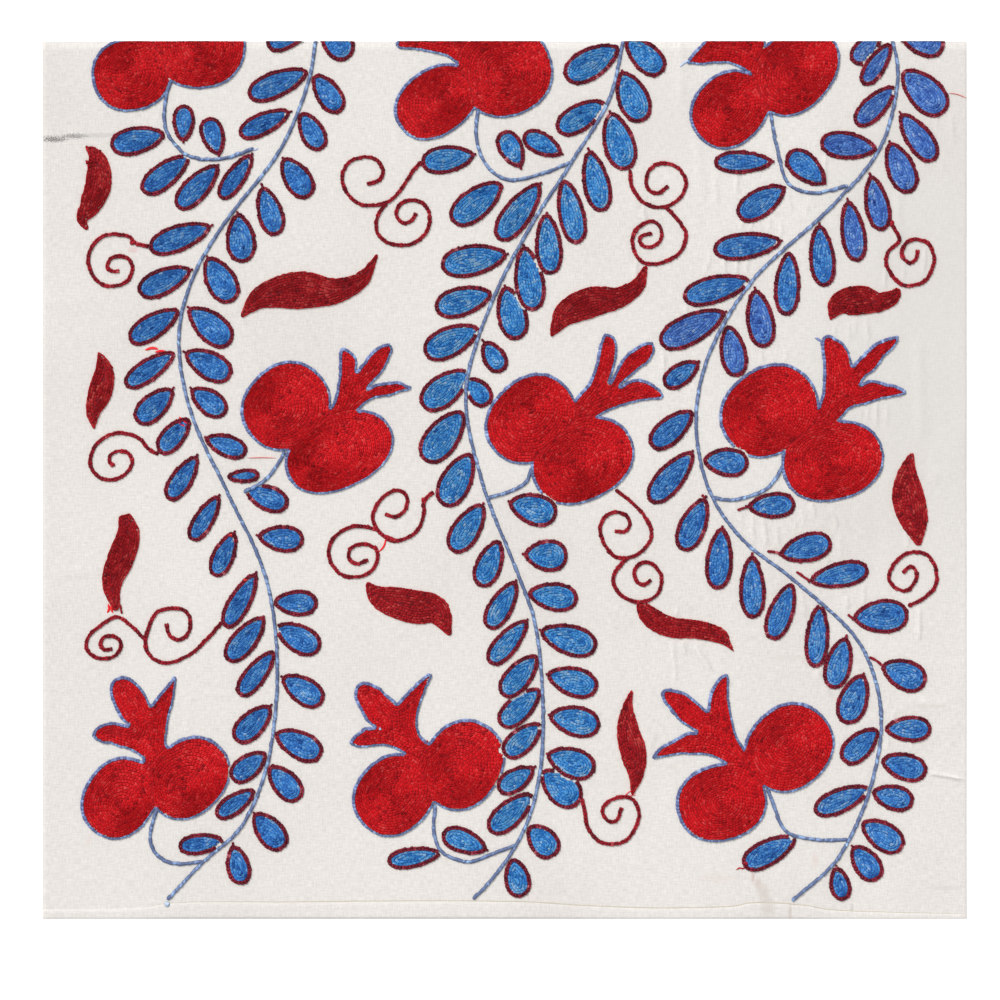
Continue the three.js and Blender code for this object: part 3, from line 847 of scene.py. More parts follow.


# Stitches. A chain link is two grains of thread that start together and
# spread. A grain tapers to a point at both ends. Columns of a template: how
# far along, how far across and how high. How high is also the crest that the
# thread material paints darker where low, as shade between the threads.
COARSE_GRAIN = np.array([
  [0, 0, 0.1],
  [0.3, -0.5, 0], [0.3, 0, 0.92], [0.3, 0.5, 0],
  [0.76, -0.48, 0], [0.76, 0, 1], [0.76, 0.48, 0],
  [1, 0, 0.1]])
COARSE_FACES = np.array([
  [0, 2, 1], [0, 3, 2], [1, 2, 5], [1, 5, 4], [2, 3, 6], [2, 6, 5], [4, 5, 7], [5, 6, 7]])
FINE_GRAIN = np.array([
  [0, 0, 0.1],
  [0.2, -0.4, 0], [0.2, -0.2, 0.62], [0.2, 0.2, 0.62], [0.2, 0.4, 0],
  [0.55, -0.5, 0], [0.55, -0.25, 0.96], [0.55, 0.25, 0.96], [0.55, 0.5, 0],
  [0.85, -0.42, 0], [0.85, -0.2, 0.8], [0.85, 0.2, 0.8], [0.85, 0.42, 0],
  [1, 0, 0.1]])
FINE_FACES = np.array(
  [[0, 2, 1], [0, 3, 2], [0, 4, 3]]
  + [[r + c, r + c + 1, r + c + 5] for r in (1, 5) for c in range(3)]
  + [[r + c, r + c + 5, r + c + 4] for r in (1, 5) for c in range(3)]
  + [[9, 10, 13], [10, 11, 13], [11, 12, 13]])

# The two grains of a link, in shares of its width: how far from the middle
# they start and end, how wide they are and how far they bow out.
LOOPS = {
    "full": (0.05, 0.26, 0.48, 0.03), "round": (0.08, 0.20, 0.58, 0.03),
    "open": (0.12, 0.27, 0.58, 0.05), "rope": (-0.19, 0.19, 0.60, 0.0)}


class Stitching:
    """Gathers the thread of one piece and builds its mesh. Pure is 1 for thread
    of full colour and less for faded thread."""

    def __init__(self):
        self.vertices, self.faces, self.thread, self.count, self.pure = [], [], [], 0, 1.0

    def add(self, vertices, faces, thread):
        self.vertices.append(vertices)
        self.faces.append(faces + self.count)
        self.thread.append(thread)
        self.count += len(vertices)

    def grains(self, a, b, width, height, tone, hue, fine=False, bow=0.0):
        """Grains from a to b, each with its width, crest height, tone and hue."""
        shape, faces = (FINE_GRAIN, FINE_FACES) if fine else (COARSE_GRAIN, COARSE_FACES)
        n, k = len(a), len(shape)
        run = b - a
        length = np.maximum(np.linalg.norm(run, axis=1), 1e-6)
        across = np.c_[-run[:, 1], run[:, 0]] / length[:, None]
        u, v, w = shape.T
        side = v * width[:, None] + (4 * u * (1 - u)) * np.broadcast_to(bow, n)[:, None]
        plan = a[:, None] + u[:, None] * run[:, None] + side[..., None] * across[:, None]
        lift = 0.15 + w * (height[:, None] - 0.15)
        thread = np.empty((n, k, 4))
        # Tone rises along each grain, painted shade at its tail and a painted highlight at its head; the
        # crest height goes along, and the material paints low crests darker as shade.
        thread[..., 0] = tone[:, None] + 0.3 * (u - 0.5)
        thread[..., 1] = w
        thread[..., 2] = hue[:, None]
        thread[..., 3] = self.pure
        vertices = np.concatenate([plan, lift[..., None]], axis=2).reshape(-1, 3)
        numbers = (np.arange(n) * k)[:, None, None] + faces
        self.add(vertices, numbers.reshape(-1, 3), thread.reshape(-1, 4))

    def chain(self, line, closed, width, tone, hue, loops="full", height=STITCH_HEIGHT,
              pitch=LINK_PITCH):
        """One row of chain stitch along a line. Width, tone and hue are plain
        numbers or functions of the links' plan positions. Loops are "full",
        "round" for a broader row, "open" with a light grain, a painted highlight,
        in the eye of most, or "rope", where both grains slant the same way and lie
        half a link apart."""
        if closed:
            line = np.roll(line, -int(rng.integers(len(line))), axis=0)
        line, run = along(line, closed)
        if run[-1] < 1.4:
            return
        if closed:
            cuts = np.linspace(0, run[-1], max(int(round(run[-1] / pitch)), 2) + 1)
        else:
            cuts = np.arange(rng.uniform(0.4, 1.0) * pitch, run[-1] - 0.4 * pitch, pitch)
            cuts = np.r_[0, cuts, run[-1]]
        count = len(cuts) - 1
        cuts[1:-1] += np.clip(rng.normal(0, 0.14 * pitch, count - 1), -0.3 * pitch, 0.3 * pitch)
        start, end = at_runs(line, run, cuts[:-1]), at_runs(line, run, cuts[1:])
        step = end - start
        length = np.maximum(np.linalg.norm(step, axis=1), 1e-6)
        across = np.c_[-step[:, 1], step[:, 0]] / length[:, None]
        middle = (start + end) / 2
        wide, shade, cast = (f(middle) if callable(f) else np.full(count, float(f))
                             for f in (width, tone, hue))
        near, far, body, bow = LOOPS[loops]
        wide = wide * (1 + rng.normal(0, 0.08, count))
        sway = across * rng.normal(0, 0.18, count)[:, None]
        tall = height * (1 + rng.normal(0, 0.08, count))
        shade = shade + rng.normal(0, 0.16, count)
        for side in (-1, 1):
            turn, lag = (1, 0.25 * side) if loops == "rope" else (side, 0)
            a = start + (lag - 0.30) * step + across * (turn * near * wide)[:, None] + sway
            b = end + (lag + 0.21) * step + across * (turn * far * wide)[:, None] + sway
            spread = shade + rng.normal(0, 0.12 if loops == "rope" else 0.05, count)
            self.grains(a, b, body * wide, tall, spread, cast, loops != "full", side * bow * wide)
        # Most open links get a light grain in their eye: a painted highlight.
        eye_highlights = rng.uniform(0, 1, count) < 0.6
        if loops == "open" and eye_highlights.any():
            a, b = start + 0.35 * step, start + 0.85 * step
            self.grains(a[eye_highlights], b[eye_highlights], np.full(eye_highlights.sum(), 1.0), tall[eye_highlights] * 1.1,
                        np.full(eye_highlights.sum(), 0.82), cast[eye_highlights])

    def strand(self, line, width, tone, hue, height=1.0):
        """A loose thread lying along a line."""
        line, run = along(line)
        count = max(int(run[-1] / 2.2), 2)
        where = np.linspace(0, run[-1], count + 1)
        middle = at_runs(line, run, where)
        heading = np.gradient(middle, axis=0)
        heading /= np.linalg.norm(heading, axis=1)[:, None]
        across = np.c_[-heading[:, 1], heading[:, 0]]
        taper = np.clip(3 * np.minimum(where, run[-1] - where) / run[-1] + 0.35, 0, 1)
        rows = []
        for v, w in ((-0.5, 0.0), (-0.2, 0.9), (0.2, 0.9), (0.5, 0.0)):
            rows.append(np.c_[middle + across * (v * width * taper)[:, None], 0.1 + w * height * taper])
        vertices = np.stack(rows, 1).reshape(-1, 3)
        quads = [(4 * i + c, 4 * i + c + 1, 4 * i + c + 5, 4 * i + c + 4)
                 for i in range(count) for c in range(3)]
        faces = np.array([[q[0], q[1], q[2]] for q in quads] + [[q[0], q[2], q[3]] for q in quads])
        thread = np.tile([tone, 1.0, hue, self.pure], (len(vertices), 1))
        # The strand's low edges get a low crest, which the thread material paints darker: painted shade
        # along its sides.
        thread[0::4, 1] = thread[3::4, 1] = 0.3
        self.add(vertices, faces, thread)

    def knot(self, x, y, size, tone, hue, height=2.4):
        """A small lump of thread where a row was started or tied off."""
        middle = place(x, y)
        angle = np.arange(5) * math.pi / 5 + rng.uniform(0, 1)
        reach = np.c_[np.cos(angle), np.sin(angle)] * (size / 2) * rng.uniform(0.75, 1.1, 5)[:, None]
        shift = rng.normal(0, 0.12 * size, (5, 2))
        tall = height * rng.uniform(0.75, 1.05, 5)
        shades = tone + rng.normal(0, 0.1, 5)
        self.grains(middle - reach + shift, middle + reach + shift, np.full(5, 0.5 * size), tall,
                    shades, np.full(5, float(hue)), fine=True)

    def pad(self, depth, low, cols, cell, hue, margin=0.7, every=3):
        """Couched thread under the rows, where a region is deeper than margin, laid darker as painted shade
        in the gaps between the rows.
        """
        grid = depth.reshape(-1, cols)[::every, ::every] > margin
        whole = grid[:-1, :-1] & grid[1:, :-1] & grid[:-1, 1:] & grid[1:, 1:]
        j, i = np.nonzero(whole)
        if not len(j):
            return
        width = grid.shape[1]
        corner = j * width + i
        quads = np.c_[corner, corner + 1, corner + width + 1, corner + width]
        used, numbers = np.unique(quads, return_inverse=True)
        quads = numbers.reshape(quads.shape)
        row, col = np.divmod(used, width)
        size = cell * every
        vertices = np.c_[low[0] + col * size, low[1] + row * size, np.full(len(used), PAD_RISE)]
        faces = np.vstack([quads[:, [0, 1, 2]], quads[:, [0, 2, 3]]])
        # Low tone and low crest: the pad is painted darker, as shade between the rows above it.
        self.add(vertices, faces, np.tile([0.25, 0.3, hue, self.pure], (len(vertices), 1)))

    def piece(self, name, material, slot, nodes):
        """Builds the mesh on the cloth, in place of its CAD nodes."""
        v = np.vstack(self.vertices)
        x = np.clip(v[:, 0], -CLOTH_HALF[0], CLOTH_HALF[0])
        y = np.clip(v[:, 1], -CLOTH_HALF[1], CLOTH_HALF[1])
        points = np.c_[x, y, surface(x, y) + v[:, 2]]
        obj = mesh_object(name, points, np.vstack(self.faces), np.vstack(self.thread), material)
        return settle(obj, nodes)


def mesh_object(name, points, faces, thread, material):
    """A smooth-shaded triangle mesh, with positions in steps."""
    mesh = bpy.data.meshes.new(name)
    mesh.vertices.add(len(points))
    mesh.vertices.foreach_set("co", (points * STEP).astype(np.float32).ravel())
    mesh.loops.add(3 * len(faces))
    mesh.loops.foreach_set("vertex_index", faces.astype(np.int32).ravel())
    mesh.polygons.add(len(faces))
    mesh.polygons.foreach_set("loop_start", np.arange(0, 3 * len(faces), 3, dtype=np.int32))
    mesh.update(calc_edges=True)
    mesh.polygons.foreach_set("use_smooth", np.ones(len(faces), bool))
    colours = mesh.color_attributes.new("thread", "FLOAT_COLOR", "POINT")
    colours.data.foreach_set("color", np.clip(thread, 0, 1).astype(np.float32).ravel())
    mesh.materials.append(material)
    obj = bpy.data.objects.new(name, mesh)
    bpy.context.scene.collection.objects.link(obj)
    return obj


def settle(obj, nodes):
    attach(obj, "root")
    if nodes:
        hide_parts(*nodes)
    return obj


# Where one motif stops at another.
def box_of(outline):
    return outline.min(0), outline.max(0)


def clear_of(points, outlines, gap):
    """True where a point is at least gap outside every outline."""
    clear = np.ones(len(points), bool)
    for outline in outlines:
        low, high = box_of(outline)
        near = ((points > low - gap) & (points < high + gap)).all(1) & clear
        if near.any():
            clear[near] = depth_inside(points[near], outline) < -gap
    return clear


def clear_of_lines(points, lines, gap):
    clear = np.ones(len(points), bool)
    for line in lines:
        low, high = box_of(line)
        near = ((points > low - gap) & (points < high + gap)).all(1) & clear
        if near.any():
            clear[near] = distance_to(points[near], line) > gap
    return clear


def touching(outline, others, gap=2):
    low, high = box_of(outline)
    return [o for o in others if (o.min(0) < high + gap).all() and (o.max(0) > low - gap).all()]


def on_cloth(points, beyond=3.5):
    return (np.abs(points) < np.array(CLOTH_HALF) + beyond).all(1)


def rows(lines, keep):
    """The parts of several lines where keep(points) holds."""
    found = []
    for line, closed in lines:
        line, _ = along(line, closed)
        if closed:
            line = line[:-1]
        dense, run = along(line, closed)
        count = max(int(run[-1] / 0.8), 4)
        fine = at_runs(dense, run, np.linspace(0, run[-1], count, endpoint=not closed))
        found += kept_runs(fine, closed, keep(fine) & on_cloth(fine))
    return found


def settle_tone(seed, base, spread):
    """Tone that drifts over the cloth, as hand-dyed thread does."""
    def tone(points):
        return base + spread * value_noise(points[:, 0] / 9, points[:, 1] / 9, seed)
    return tone


# Every outline first, so that each motif can stop at its neighbours.
ALL_VINES = VINES + BRANCHES
for number, vine in enumerate(ALL_VINES):
    vine["number"] = number
    vine["lines"] = [smooth(route(text), 1.2) for text in [vine["stem"], *vine["stalks"]]]
    for leaf in vine["leaves"]:
        leaf["outline"] = almond(leaf)
        leaf["lines"] = vine["lines"]
for leaf in TOP_LEAVES:
    leaf["outline"] = almond(leaf)
    leaf["lines"] = []
ALL_LEAVES = [leaf for vine in ALL_VINES for leaf in vine["leaves"]] + TOP_LEAVES
LEAF_OUTLINES = [leaf["outline"] for leaf in ALL_LEAVES]
for number, leaf in enumerate(ALL_LEAVES):
    leaf["above"] = touching(leaf["outline"], LEAF_OUTLINES[:number])

# The middle of each lobe's rings, where it isn't the lobe's own middle.
RING_MIDDLES = {
    "pomegranate_top_left": ((129, 72), (199, 46)),
    "pomegranate_top_middle": ((442, 98), (505, 72)),
    "pomegranate_top_right": ((729, 108), (795, 72)),
    "pomegranate_middle_left": ((272, 409), (312, 464)),
    "pomegranate_middle": ((531, 408), (577, 468)),
    "pomegranate_middle_right": ((760, 418), (830, 464)),
    "pomegranate_bottom_left": ((120, 808), (184, 792)),
    "pomegranate_bottom_middle": ((390, 793), (452, 778)),
    "pomegranate_bottom_right": ((721, 803), (787, 745)),
}
LIGHT_SIDE = np.array([-0.7, 0.7])

for fruit in POMEGRANATES:
    fruit["ovals"] = [lobe_outline(lobe) for lobe in fruit["lobes"]]
    fruit["edge"] = smooth_between_corners(route(fruit["crown"])[:-2], 1.2)
    hubs = route(fruit["crown"])[-2:]
    if "top" not in fruit["name"]:
        ends = fruit["edge"][[-1, 0]]
        nearest = np.array([depth_inside(ends, oval) for oval in fruit["ovals"]]).argmax(axis=0)
        hubs = np.array([place(fruit["lobes"][i]["x"], fruit["lobes"][i]["y"]) for i in nearest])
    fruit["petals"] = np.vstack([fruit["edge"], hubs])
FRUIT_OUTLINES = [o for fruit in POMEGRANATES for o in [*fruit["ovals"], fruit["petals"]]]


def leaf_cast(leaf, vine_number):
    """(tone, hue) of a leaf's blue: some of the right vine's upper leaves are nearer violet."""
    if vine_number == 2:
        violet = leaf["base_y"] < 345 and (leaf["base_x"] > 835 or leaf["base_y"] > 285)
        return (0.5, 0.75) if violet else (0.52, 0.25)
    if vine_number == 1:
        return 0.61, 0.05
    return 0.47, 0.22


def sew_leaf(leaf, fill, edging, cast):
    """Rows of blue that follow the outline, inside one maroon row."""
    tone, hue = cast
    outline, above, lines = leaf["outline"], leaf["above"], leaf["lines"]
    low, cols, count, points = grid_over(outline, CONTOUR_CELL)
    depth = depth_inside(points, outline)
    free = np.where(clear_of(points, above, 0.4) & on_cloth(points), depth, -1)
    fill.pad(free, low, cols, CONTOUR_CELL, hue, 2.0)
    shade = settle_tone(11, tone, 0.16)

    def inside(p):
        return clear_of(p, above, 1.3) & clear_of_lines(p, lines, 2.9)

    level = EDGING_WIDTH + 1.05
    deepest = depth.max()
    field = depth.reshape(count, cols)
    while level < deepest - 0.5:
        for line, closed in rows(contours(field, low, CONTOUR_CELL, level), inside):
            fill.chain(line, closed, FILL_PITCH, shade, hue)
        level += FILL_PITCH
    base, tip = place(leaf["base_x"], leaf["base_y"]), place(leaf["tip_x"], leaf["tip_y"])
    rib = base + np.linspace(0, 1, 60)[:, None] * (tip - base)
    rib_depth = depth_inside(rib, outline)
    left = rib_depth - (level - FILL_PITCH)
    for line, closed in kept_runs(rib, False, (left > 0.75) & inside(rib) & on_cloth(rib)):
        fill.chain(line, False, FILL_PITCH, shade, hue)

    def at_edge(p):
        return clear_of(p, above, 1.2) & clear_of_lines(p, lines, 2.8)

    maroon = settle_tone(12, 0.29, 0.14)
    for line, closed in rows([(almond(leaf, EDGING_WIDTH / 2), True)], at_edge):
        edging.chain(line, closed, EDGING_WIDTH, maroon, 1.0, "open")
    along_leaf = (tip - base) / np.hypot(*(tip - base))
    sideways = np.array([-along_leaf[1], along_leaf[0]]) * rng.uniform(-1.2, 1.2)
    tail = np.array([base + 2.4 * along_leaf, base - 0.5 * along_leaf + 0.4 * sideways,
                     base - rng.uniform(0.8, 2.8) * along_leaf + sideways])
    if at_edge(tail).all() and on_cloth(tail).all():
        edging.chain(tail, False, 2.9, maroon, 1.0, "round")


def sew_stem(vine, fill):
    light = settle_tone(13, 0.03, 0.05)
    fill.pure = 0.62
    for k, line in enumerate(vine["lines"]):
        others = vine["lines"][:k]

        def free(p):
            return clear_of(p, FRUIT_OUTLINES, -1.0) & clear_of_lines(p, others, 1.0)

        for part, _ in rows([(line, False)], free):
            fill.chain(part, False, STEM_WIDTH, light, 0.0, "rope", height=STITCH_HEIGHT * 1.1, pitch=3.7)
    fill.pure = 1.0


def polar_reach(outline, middle):
    """Angles about the middle, sorted, and how far the outline is there."""
    spoke = outline - middle
    angle = np.arctan2(spoke[:, 1], spoke[:, 0])
    order = np.argsort(angle)
    return angle[order], np.linalg.norm(spoke, axis=1)[order]


def edge_width(facing):
    """The fruit's blue outline is broad at the upper left and thin at the lower right."""
    return 2.4 + 1.5 * eased(facing, -0.45, 0.35)


def facing_light(field):
    """How far the outward side of a field of depths faces the upper left, on its grid."""
    slope_y, slope_x = np.gradient(field)
    size = np.maximum(np.hypot(slope_x, slope_y), 1e-6)
    return -(slope_x * LIGHT_SIDE[0] + slope_y * LIGHT_SIDE[1]) / size


def sew_fruit(fruit, fill, edging, seed):
    """Two lobes in rings, a crown in rows along its edge, and a blue outline."""
    ovals, petals = fruit["ovals"], fruit["petals"]
    middles = [place(*m) for m in RING_MIDDLES[fruit["name"]]]
    above = touching(np.vstack([*ovals, petals]), LEAF_OUTLINES)
    low, cols, count, points = grid_over(np.vstack([*ovals, petals]), CONTOUR_CELL)
    depths = [depth_inside(points, outline) for outline in [*ovals, petals]]
    union = np.max(depths, axis=0)
    drift = settle_tone(seed, 0.5, 0.1)

    def shade(p):
        away = [np.exp(-((p - middle) ** 2).sum(1) / 20) for middle in middles]
        return drift(p) - 0.25 * (away[0] + away[1])

    free = np.where(clear_of(points, above, 0.3) & on_cloth(points), union, -1)
    fill.pad(free, low, cols, CONTOUR_CELL, 0.4, 1.0, every=3)

    def union_at(p):
        return np.max([depth_inside(p, outline) for outline in [*ovals, petals]], axis=0)

    # Each lobe's own scale: 0 at its ring middle and 1 at the inner side of its outline.
    scales = []
    for which, (oval, middle) in enumerate(zip(ovals, middles)):
        angle, reach = polar_reach(oval, middle)
        outward = np.c_[np.cos(angle), np.sin(angle)]
        rim = middle + outward * reach[:, None]
        open_rim = clear_of(rim, [ovals[1 - which], petals], -1.5)
        inset = np.where(open_rim, edge_width(outward @ LIGHT_SIDE) + 0.1, 0.3)
        inset = (inset + np.roll(inset, 1) + np.roll(inset, -1)) / 3
        scales.append((middle, angle, reach - inset))

    def scale(p, which):
        middle, angle, reach = scales[which]
        spoke = p - middle
        at = np.interp(np.arctan2(spoke[:, 1], spoke[:, 0]), angle, reach, period=2 * math.pi)
        return np.linalg.norm(spoke, axis=1) / at

    for which in (0, 1):
        middle, angle, reach = scales[which]
        mean = float(np.mean(reach))
        turns = max(int(round(mean / FILL_PITCH)), 2)

        def own(p):
            ours, theirs = scale(p, which), scale(p, 1 - which)
            seam = np.minimum(theirs - ours, 3) * mean / 2
            return (seam > 0.6) & clear_of(p, above, 1.2) & (union_at(p) > 2.2)

        def pitch_at(p):
            spoke = p - middle
            heading = np.arctan2(spoke[:, 1], spoke[:, 0])
            return np.interp(heading, angle, reach, period=2 * math.pi) / turns

        round_about = np.linspace(-math.pi, math.pi, 160, endpoint=False)
        outward = np.c_[np.cos(round_about), np.sin(round_about)]
        out_to = np.interp(round_about, angle, reach, period=2 * math.pi)[:, None]
        for turn in range(turns):
            part = 1 - (turn + 0.5) / turns
            ring = middle + outward * out_to * part
            for line, closed in rows([(ring, True)], own):
                fill.chain(line, closed, pitch_at, shade, 0.5)

    # Rows of the crown.
    edge = fruit["edge"]
    gap = distance_to(points, edge)
    field = np.where(depths[2] > 0, gap, -gap).reshape(count, cols)
    field = field - edge_width(facing_light(field))

    def in_crown(p):
        outside = np.maximum(depth_inside(p, ovals[0]), depth_inside(p, ovals[1])) < -0.6
        return outside & (depth_inside(p, petals) > 0) & clear_of(p, above, 1.2)

    level, deepest = 1.0, float(field.max())
    while level < deepest:
        for line, closed in rows(contours(field, low, CONTOUR_CELL, level), in_crown):
            fill.chain(line, closed, FILL_PITCH, shade, 0.45)
        level += FILL_PITCH

    # The outline row.
    field = union.reshape(count, cols)
    sides = facing_light(field)

    def facing(p):
        i = np.clip(((p[:, 0] - low[0]) / CONTOUR_CELL).round().astype(int), 0, cols - 1)
        j = np.clip(((p[:, 1] - low[1]) / CONTOUR_CELL).round().astype(int), 0, count - 1)
        return sides[j, i]

    def beside(p):
        return clear_of(p, above, 1.0)

    edging.pure = 0.66
    # Painted lit side: the outline's blue turns violet where it faces the light at the upper left.
    for line, closed in rows(contours(field - 0.5 * edge_width(sides), low, CONTOUR_CELL, 0), beside):
        edging.chain(line, closed, lambda p: edge_width(facing(p)), settle_tone(seed + 40, 0.06, 0.08),
                     lambda p: 0.05 + 0.75 * eased(facing(p), -0.4, 0.5), "round")


def sew_blade(rows_of_blade, stitching, shade):
    """A solid curved leaf: rows of one thread that follow its outline."""
    line, half = blade_line(rows_of_blade)
    outline = ribbon(line, half)
    low, cols, count, points = grid_over(outline, CONTOUR_CELL)
    depth = depth_inside(points, outline)
    above = touching(outline, FRUIT_OUTLINES + LEAF_OUTLINES)
    open_depth = np.where(clear_of(points, above, 0.3), depth, -1)
    stitching.pad(open_depth, low, cols, CONTOUR_CELL, 0.5, 0.8, every=2)

    def free(p):
        return clear_of(p, above, 1.0)

    field = depth.reshape(count, cols)
    level, deepest = 1.2, float(depth.max())
    while level < deepest - 0.4:
        for part, closed in rows(contours(field, low, CONTOUR_CELL, level), free):
            stitching.chain(part, closed, FILL_PITCH, shade, 0.2)
        level += FILL_PITCH
    left = depth_inside(line, outline) - (level - FILL_PITCH)
    for part, _ in kept_runs(line, False, (left > 0.8) & free(line) & on_cloth(line)):
        stitching.chain(part, False, FILL_PITCH, shade, 0.2)


# Materials.
def linear(red, green, blue):
    """Linear colour of an sRGB one from 0 to 255."""
    c = np.array([red, green, blue]) / 255
    return (*np.where(c <= 0.04045, c / 12.92, ((c + 0.055) / 1.055) ** 2.4), 1.0)


def new_material(name):
    material = bpy.data.materials.new(name)
    material.use_nodes = True
    tree = material.node_tree
    tree.nodes.clear()
    out = tree.nodes.new("ShaderNodeOutputMaterial")
    shader = tree.nodes.new("ShaderNodeBsdfPrincipled")
    tree.links.new(shader.outputs[0], out.inputs[0])
    return material, tree, shader


def ramp_node(tree, factor, stops):
    node = tree.nodes.new("ShaderNodeValToRGB")
    while len(node.color_ramp.elements) < len(stops):
        node.color_ramp.elements.new(0.5)
    for element, (at, colour) in zip(node.color_ramp.elements, stops):
        element.position = at
        element.color = linear(*colour)
    tree.links.new(factor, node.inputs[0])
    return node.outputs[0]


def maths(tree, operation, *values, clamp=False):
    node = tree.nodes.new("ShaderNodeMath")
    node.operation = operation
    node.use_clamp = clamp
    for socket, value in zip(node.inputs, values):
        if isinstance(value, (int, float)):
            socket.default_value = value
        else:
            tree.links.new(value, socket)
    return node.outputs[0]


def mixed(tree, blend, factor, a, b):
    node = tree.nodes.new("ShaderNodeMix")
    node.data_type = "RGBA"
    node.blend_type = blend
    for socket, value in zip((node.inputs[0], node.inputs[6], node.inputs[7]), (factor, a, b)):
        if isinstance(value, (int, float, tuple)):
            socket.default_value = value
        else:
            tree.links.new(value, socket)
    return node.outputs[2]


def noise_node(tree, vector, scale, detail=2.0, roughness=0.5):
    node = tree.nodes.new("ShaderNodeTexNoise")
    node.inputs["Scale"].default_value = scale
    node.inputs["Detail"].default_value = detail
    node.inputs["Roughness"].default_value = roughness
    tree.links.new(vector, node.inputs["Vector"])
    return node.outputs["Fac"]


def thread_material(name, stops, other_stops, roughness, sheen):
    """Silk: two rows of colour stops by tone, blended by hue, with painted shade that darkens the low parts
    of each grain and the pads, between the threads.
    """
    material, tree, shader = new_material(name)
    attribute = tree.nodes.new("ShaderNodeAttribute")
    attribute.attribute_name = "thread"
    split = tree.nodes.new("ShaderNodeSeparateColor")
    tree.links.new(attribute.outputs["Color"], split.inputs[0])
    tone, crest, hue = split.outputs
    place_node = tree.nodes.new("ShaderNodeTexCoord")
    grain = noise_node(tree, place_node.outputs["Object"], 900.0, 3.0, 0.6)
    uneven = maths(tree, "MULTIPLY_ADD", grain, 0.28, -0.14)
    shade = maths(tree, "ADD", tone, uneven, clamp=True)
    colour = mixed(tree, "MIX", hue, ramp_node(tree, shade, stops), ramp_node(tree, shade, other_stops))
    # Painted shade: the colour is scaled down where the crest is low, at the foot of each grain and on the
    # pads, for shade between the threads.
    depth = maths(tree, "MULTIPLY_ADD", crest, 0.55, 0.45)
    faded = tree.nodes.new("ShaderNodeHueSaturation")
    tree.links.new(attribute.outputs["Alpha"], faded.inputs["Saturation"])
    tree.links.new(colour, faded.inputs["Color"])
    painted_shade_scale = tree.nodes.new("ShaderNodeVectorMath")
    painted_shade_scale.operation = "SCALE"
    tree.links.new(faded.outputs[0], painted_shade_scale.inputs[0])
    tree.links.new(depth, painted_shade_scale.inputs["Scale"])
    tree.links.new(painted_shade_scale.outputs[0], shader.inputs["Base Color"])
    shader.inputs["Roughness"].default_value = roughness
    shader.inputs["Specular IOR Level"].default_value = 0.22
    shader.inputs["Sheen Weight"].default_value = sheen
    fibres = noise_node(tree, place_node.outputs["Object"], 4200.0, 1.0, 0.5)
    bump = tree.nodes.new("ShaderNodeBump")
    bump.inputs["Strength"].default_value = 0.35
    bump.inputs["Distance"].default_value = 0.0001
    tree.links.new(fibres, bump.inputs["Height"])
    tree.links.new(bump.outputs[0], shader.inputs["Normal"])
    return material


BLUE = thread_material(
    "blue_silk",
    [(0.0, (14, 80, 160)), (0.35, (48, 144, 232)), (0.65, (92, 188, 255)), (1.0, (178, 220, 252))],
    [(0.0, (46, 66, 162)), (0.35, (96, 138, 232)), (0.65, (134, 178, 255)), (1.0, (192, 210, 252))],
    0.5, 0.04)
RED = thread_material(
    "red_silk",
    [(0.0, (150, 0, 14)), (0.35, (226, 10, 28)), (0.65, (250, 22, 34)), (1.0, (255, 80, 82))],
    [(0.0, (156, 0, 16)), (0.35, (232, 12, 30)), (0.65, (254, 26, 36)), (1.0, (255, 84, 84))],
    0.5, 0.0)
MAROON = thread_material(
    "maroon_silk",
    [(0.0, (136, 4, 12)), (0.35, (196, 16, 26)), (0.65, (222, 32, 38)), (1.0, (240, 84, 70))],
    [(0.0, (92, 8, 34)), (0.35, (126, 20, 44)), (0.65, (156, 38, 60)), (1.0, (216, 132, 144))],
    0.55, 0.0)
TAN = thread_material(
    "hem_cotton",
    [(0.0, (150, 140, 120)), (0.5, (190, 182, 160)), (1.0, (222, 214, 196))],
    [(0.0, (120, 84, 60)), (0.5, (160, 120, 90)), (1.0, (200, 170, 140))],
    0.8, 0.0)


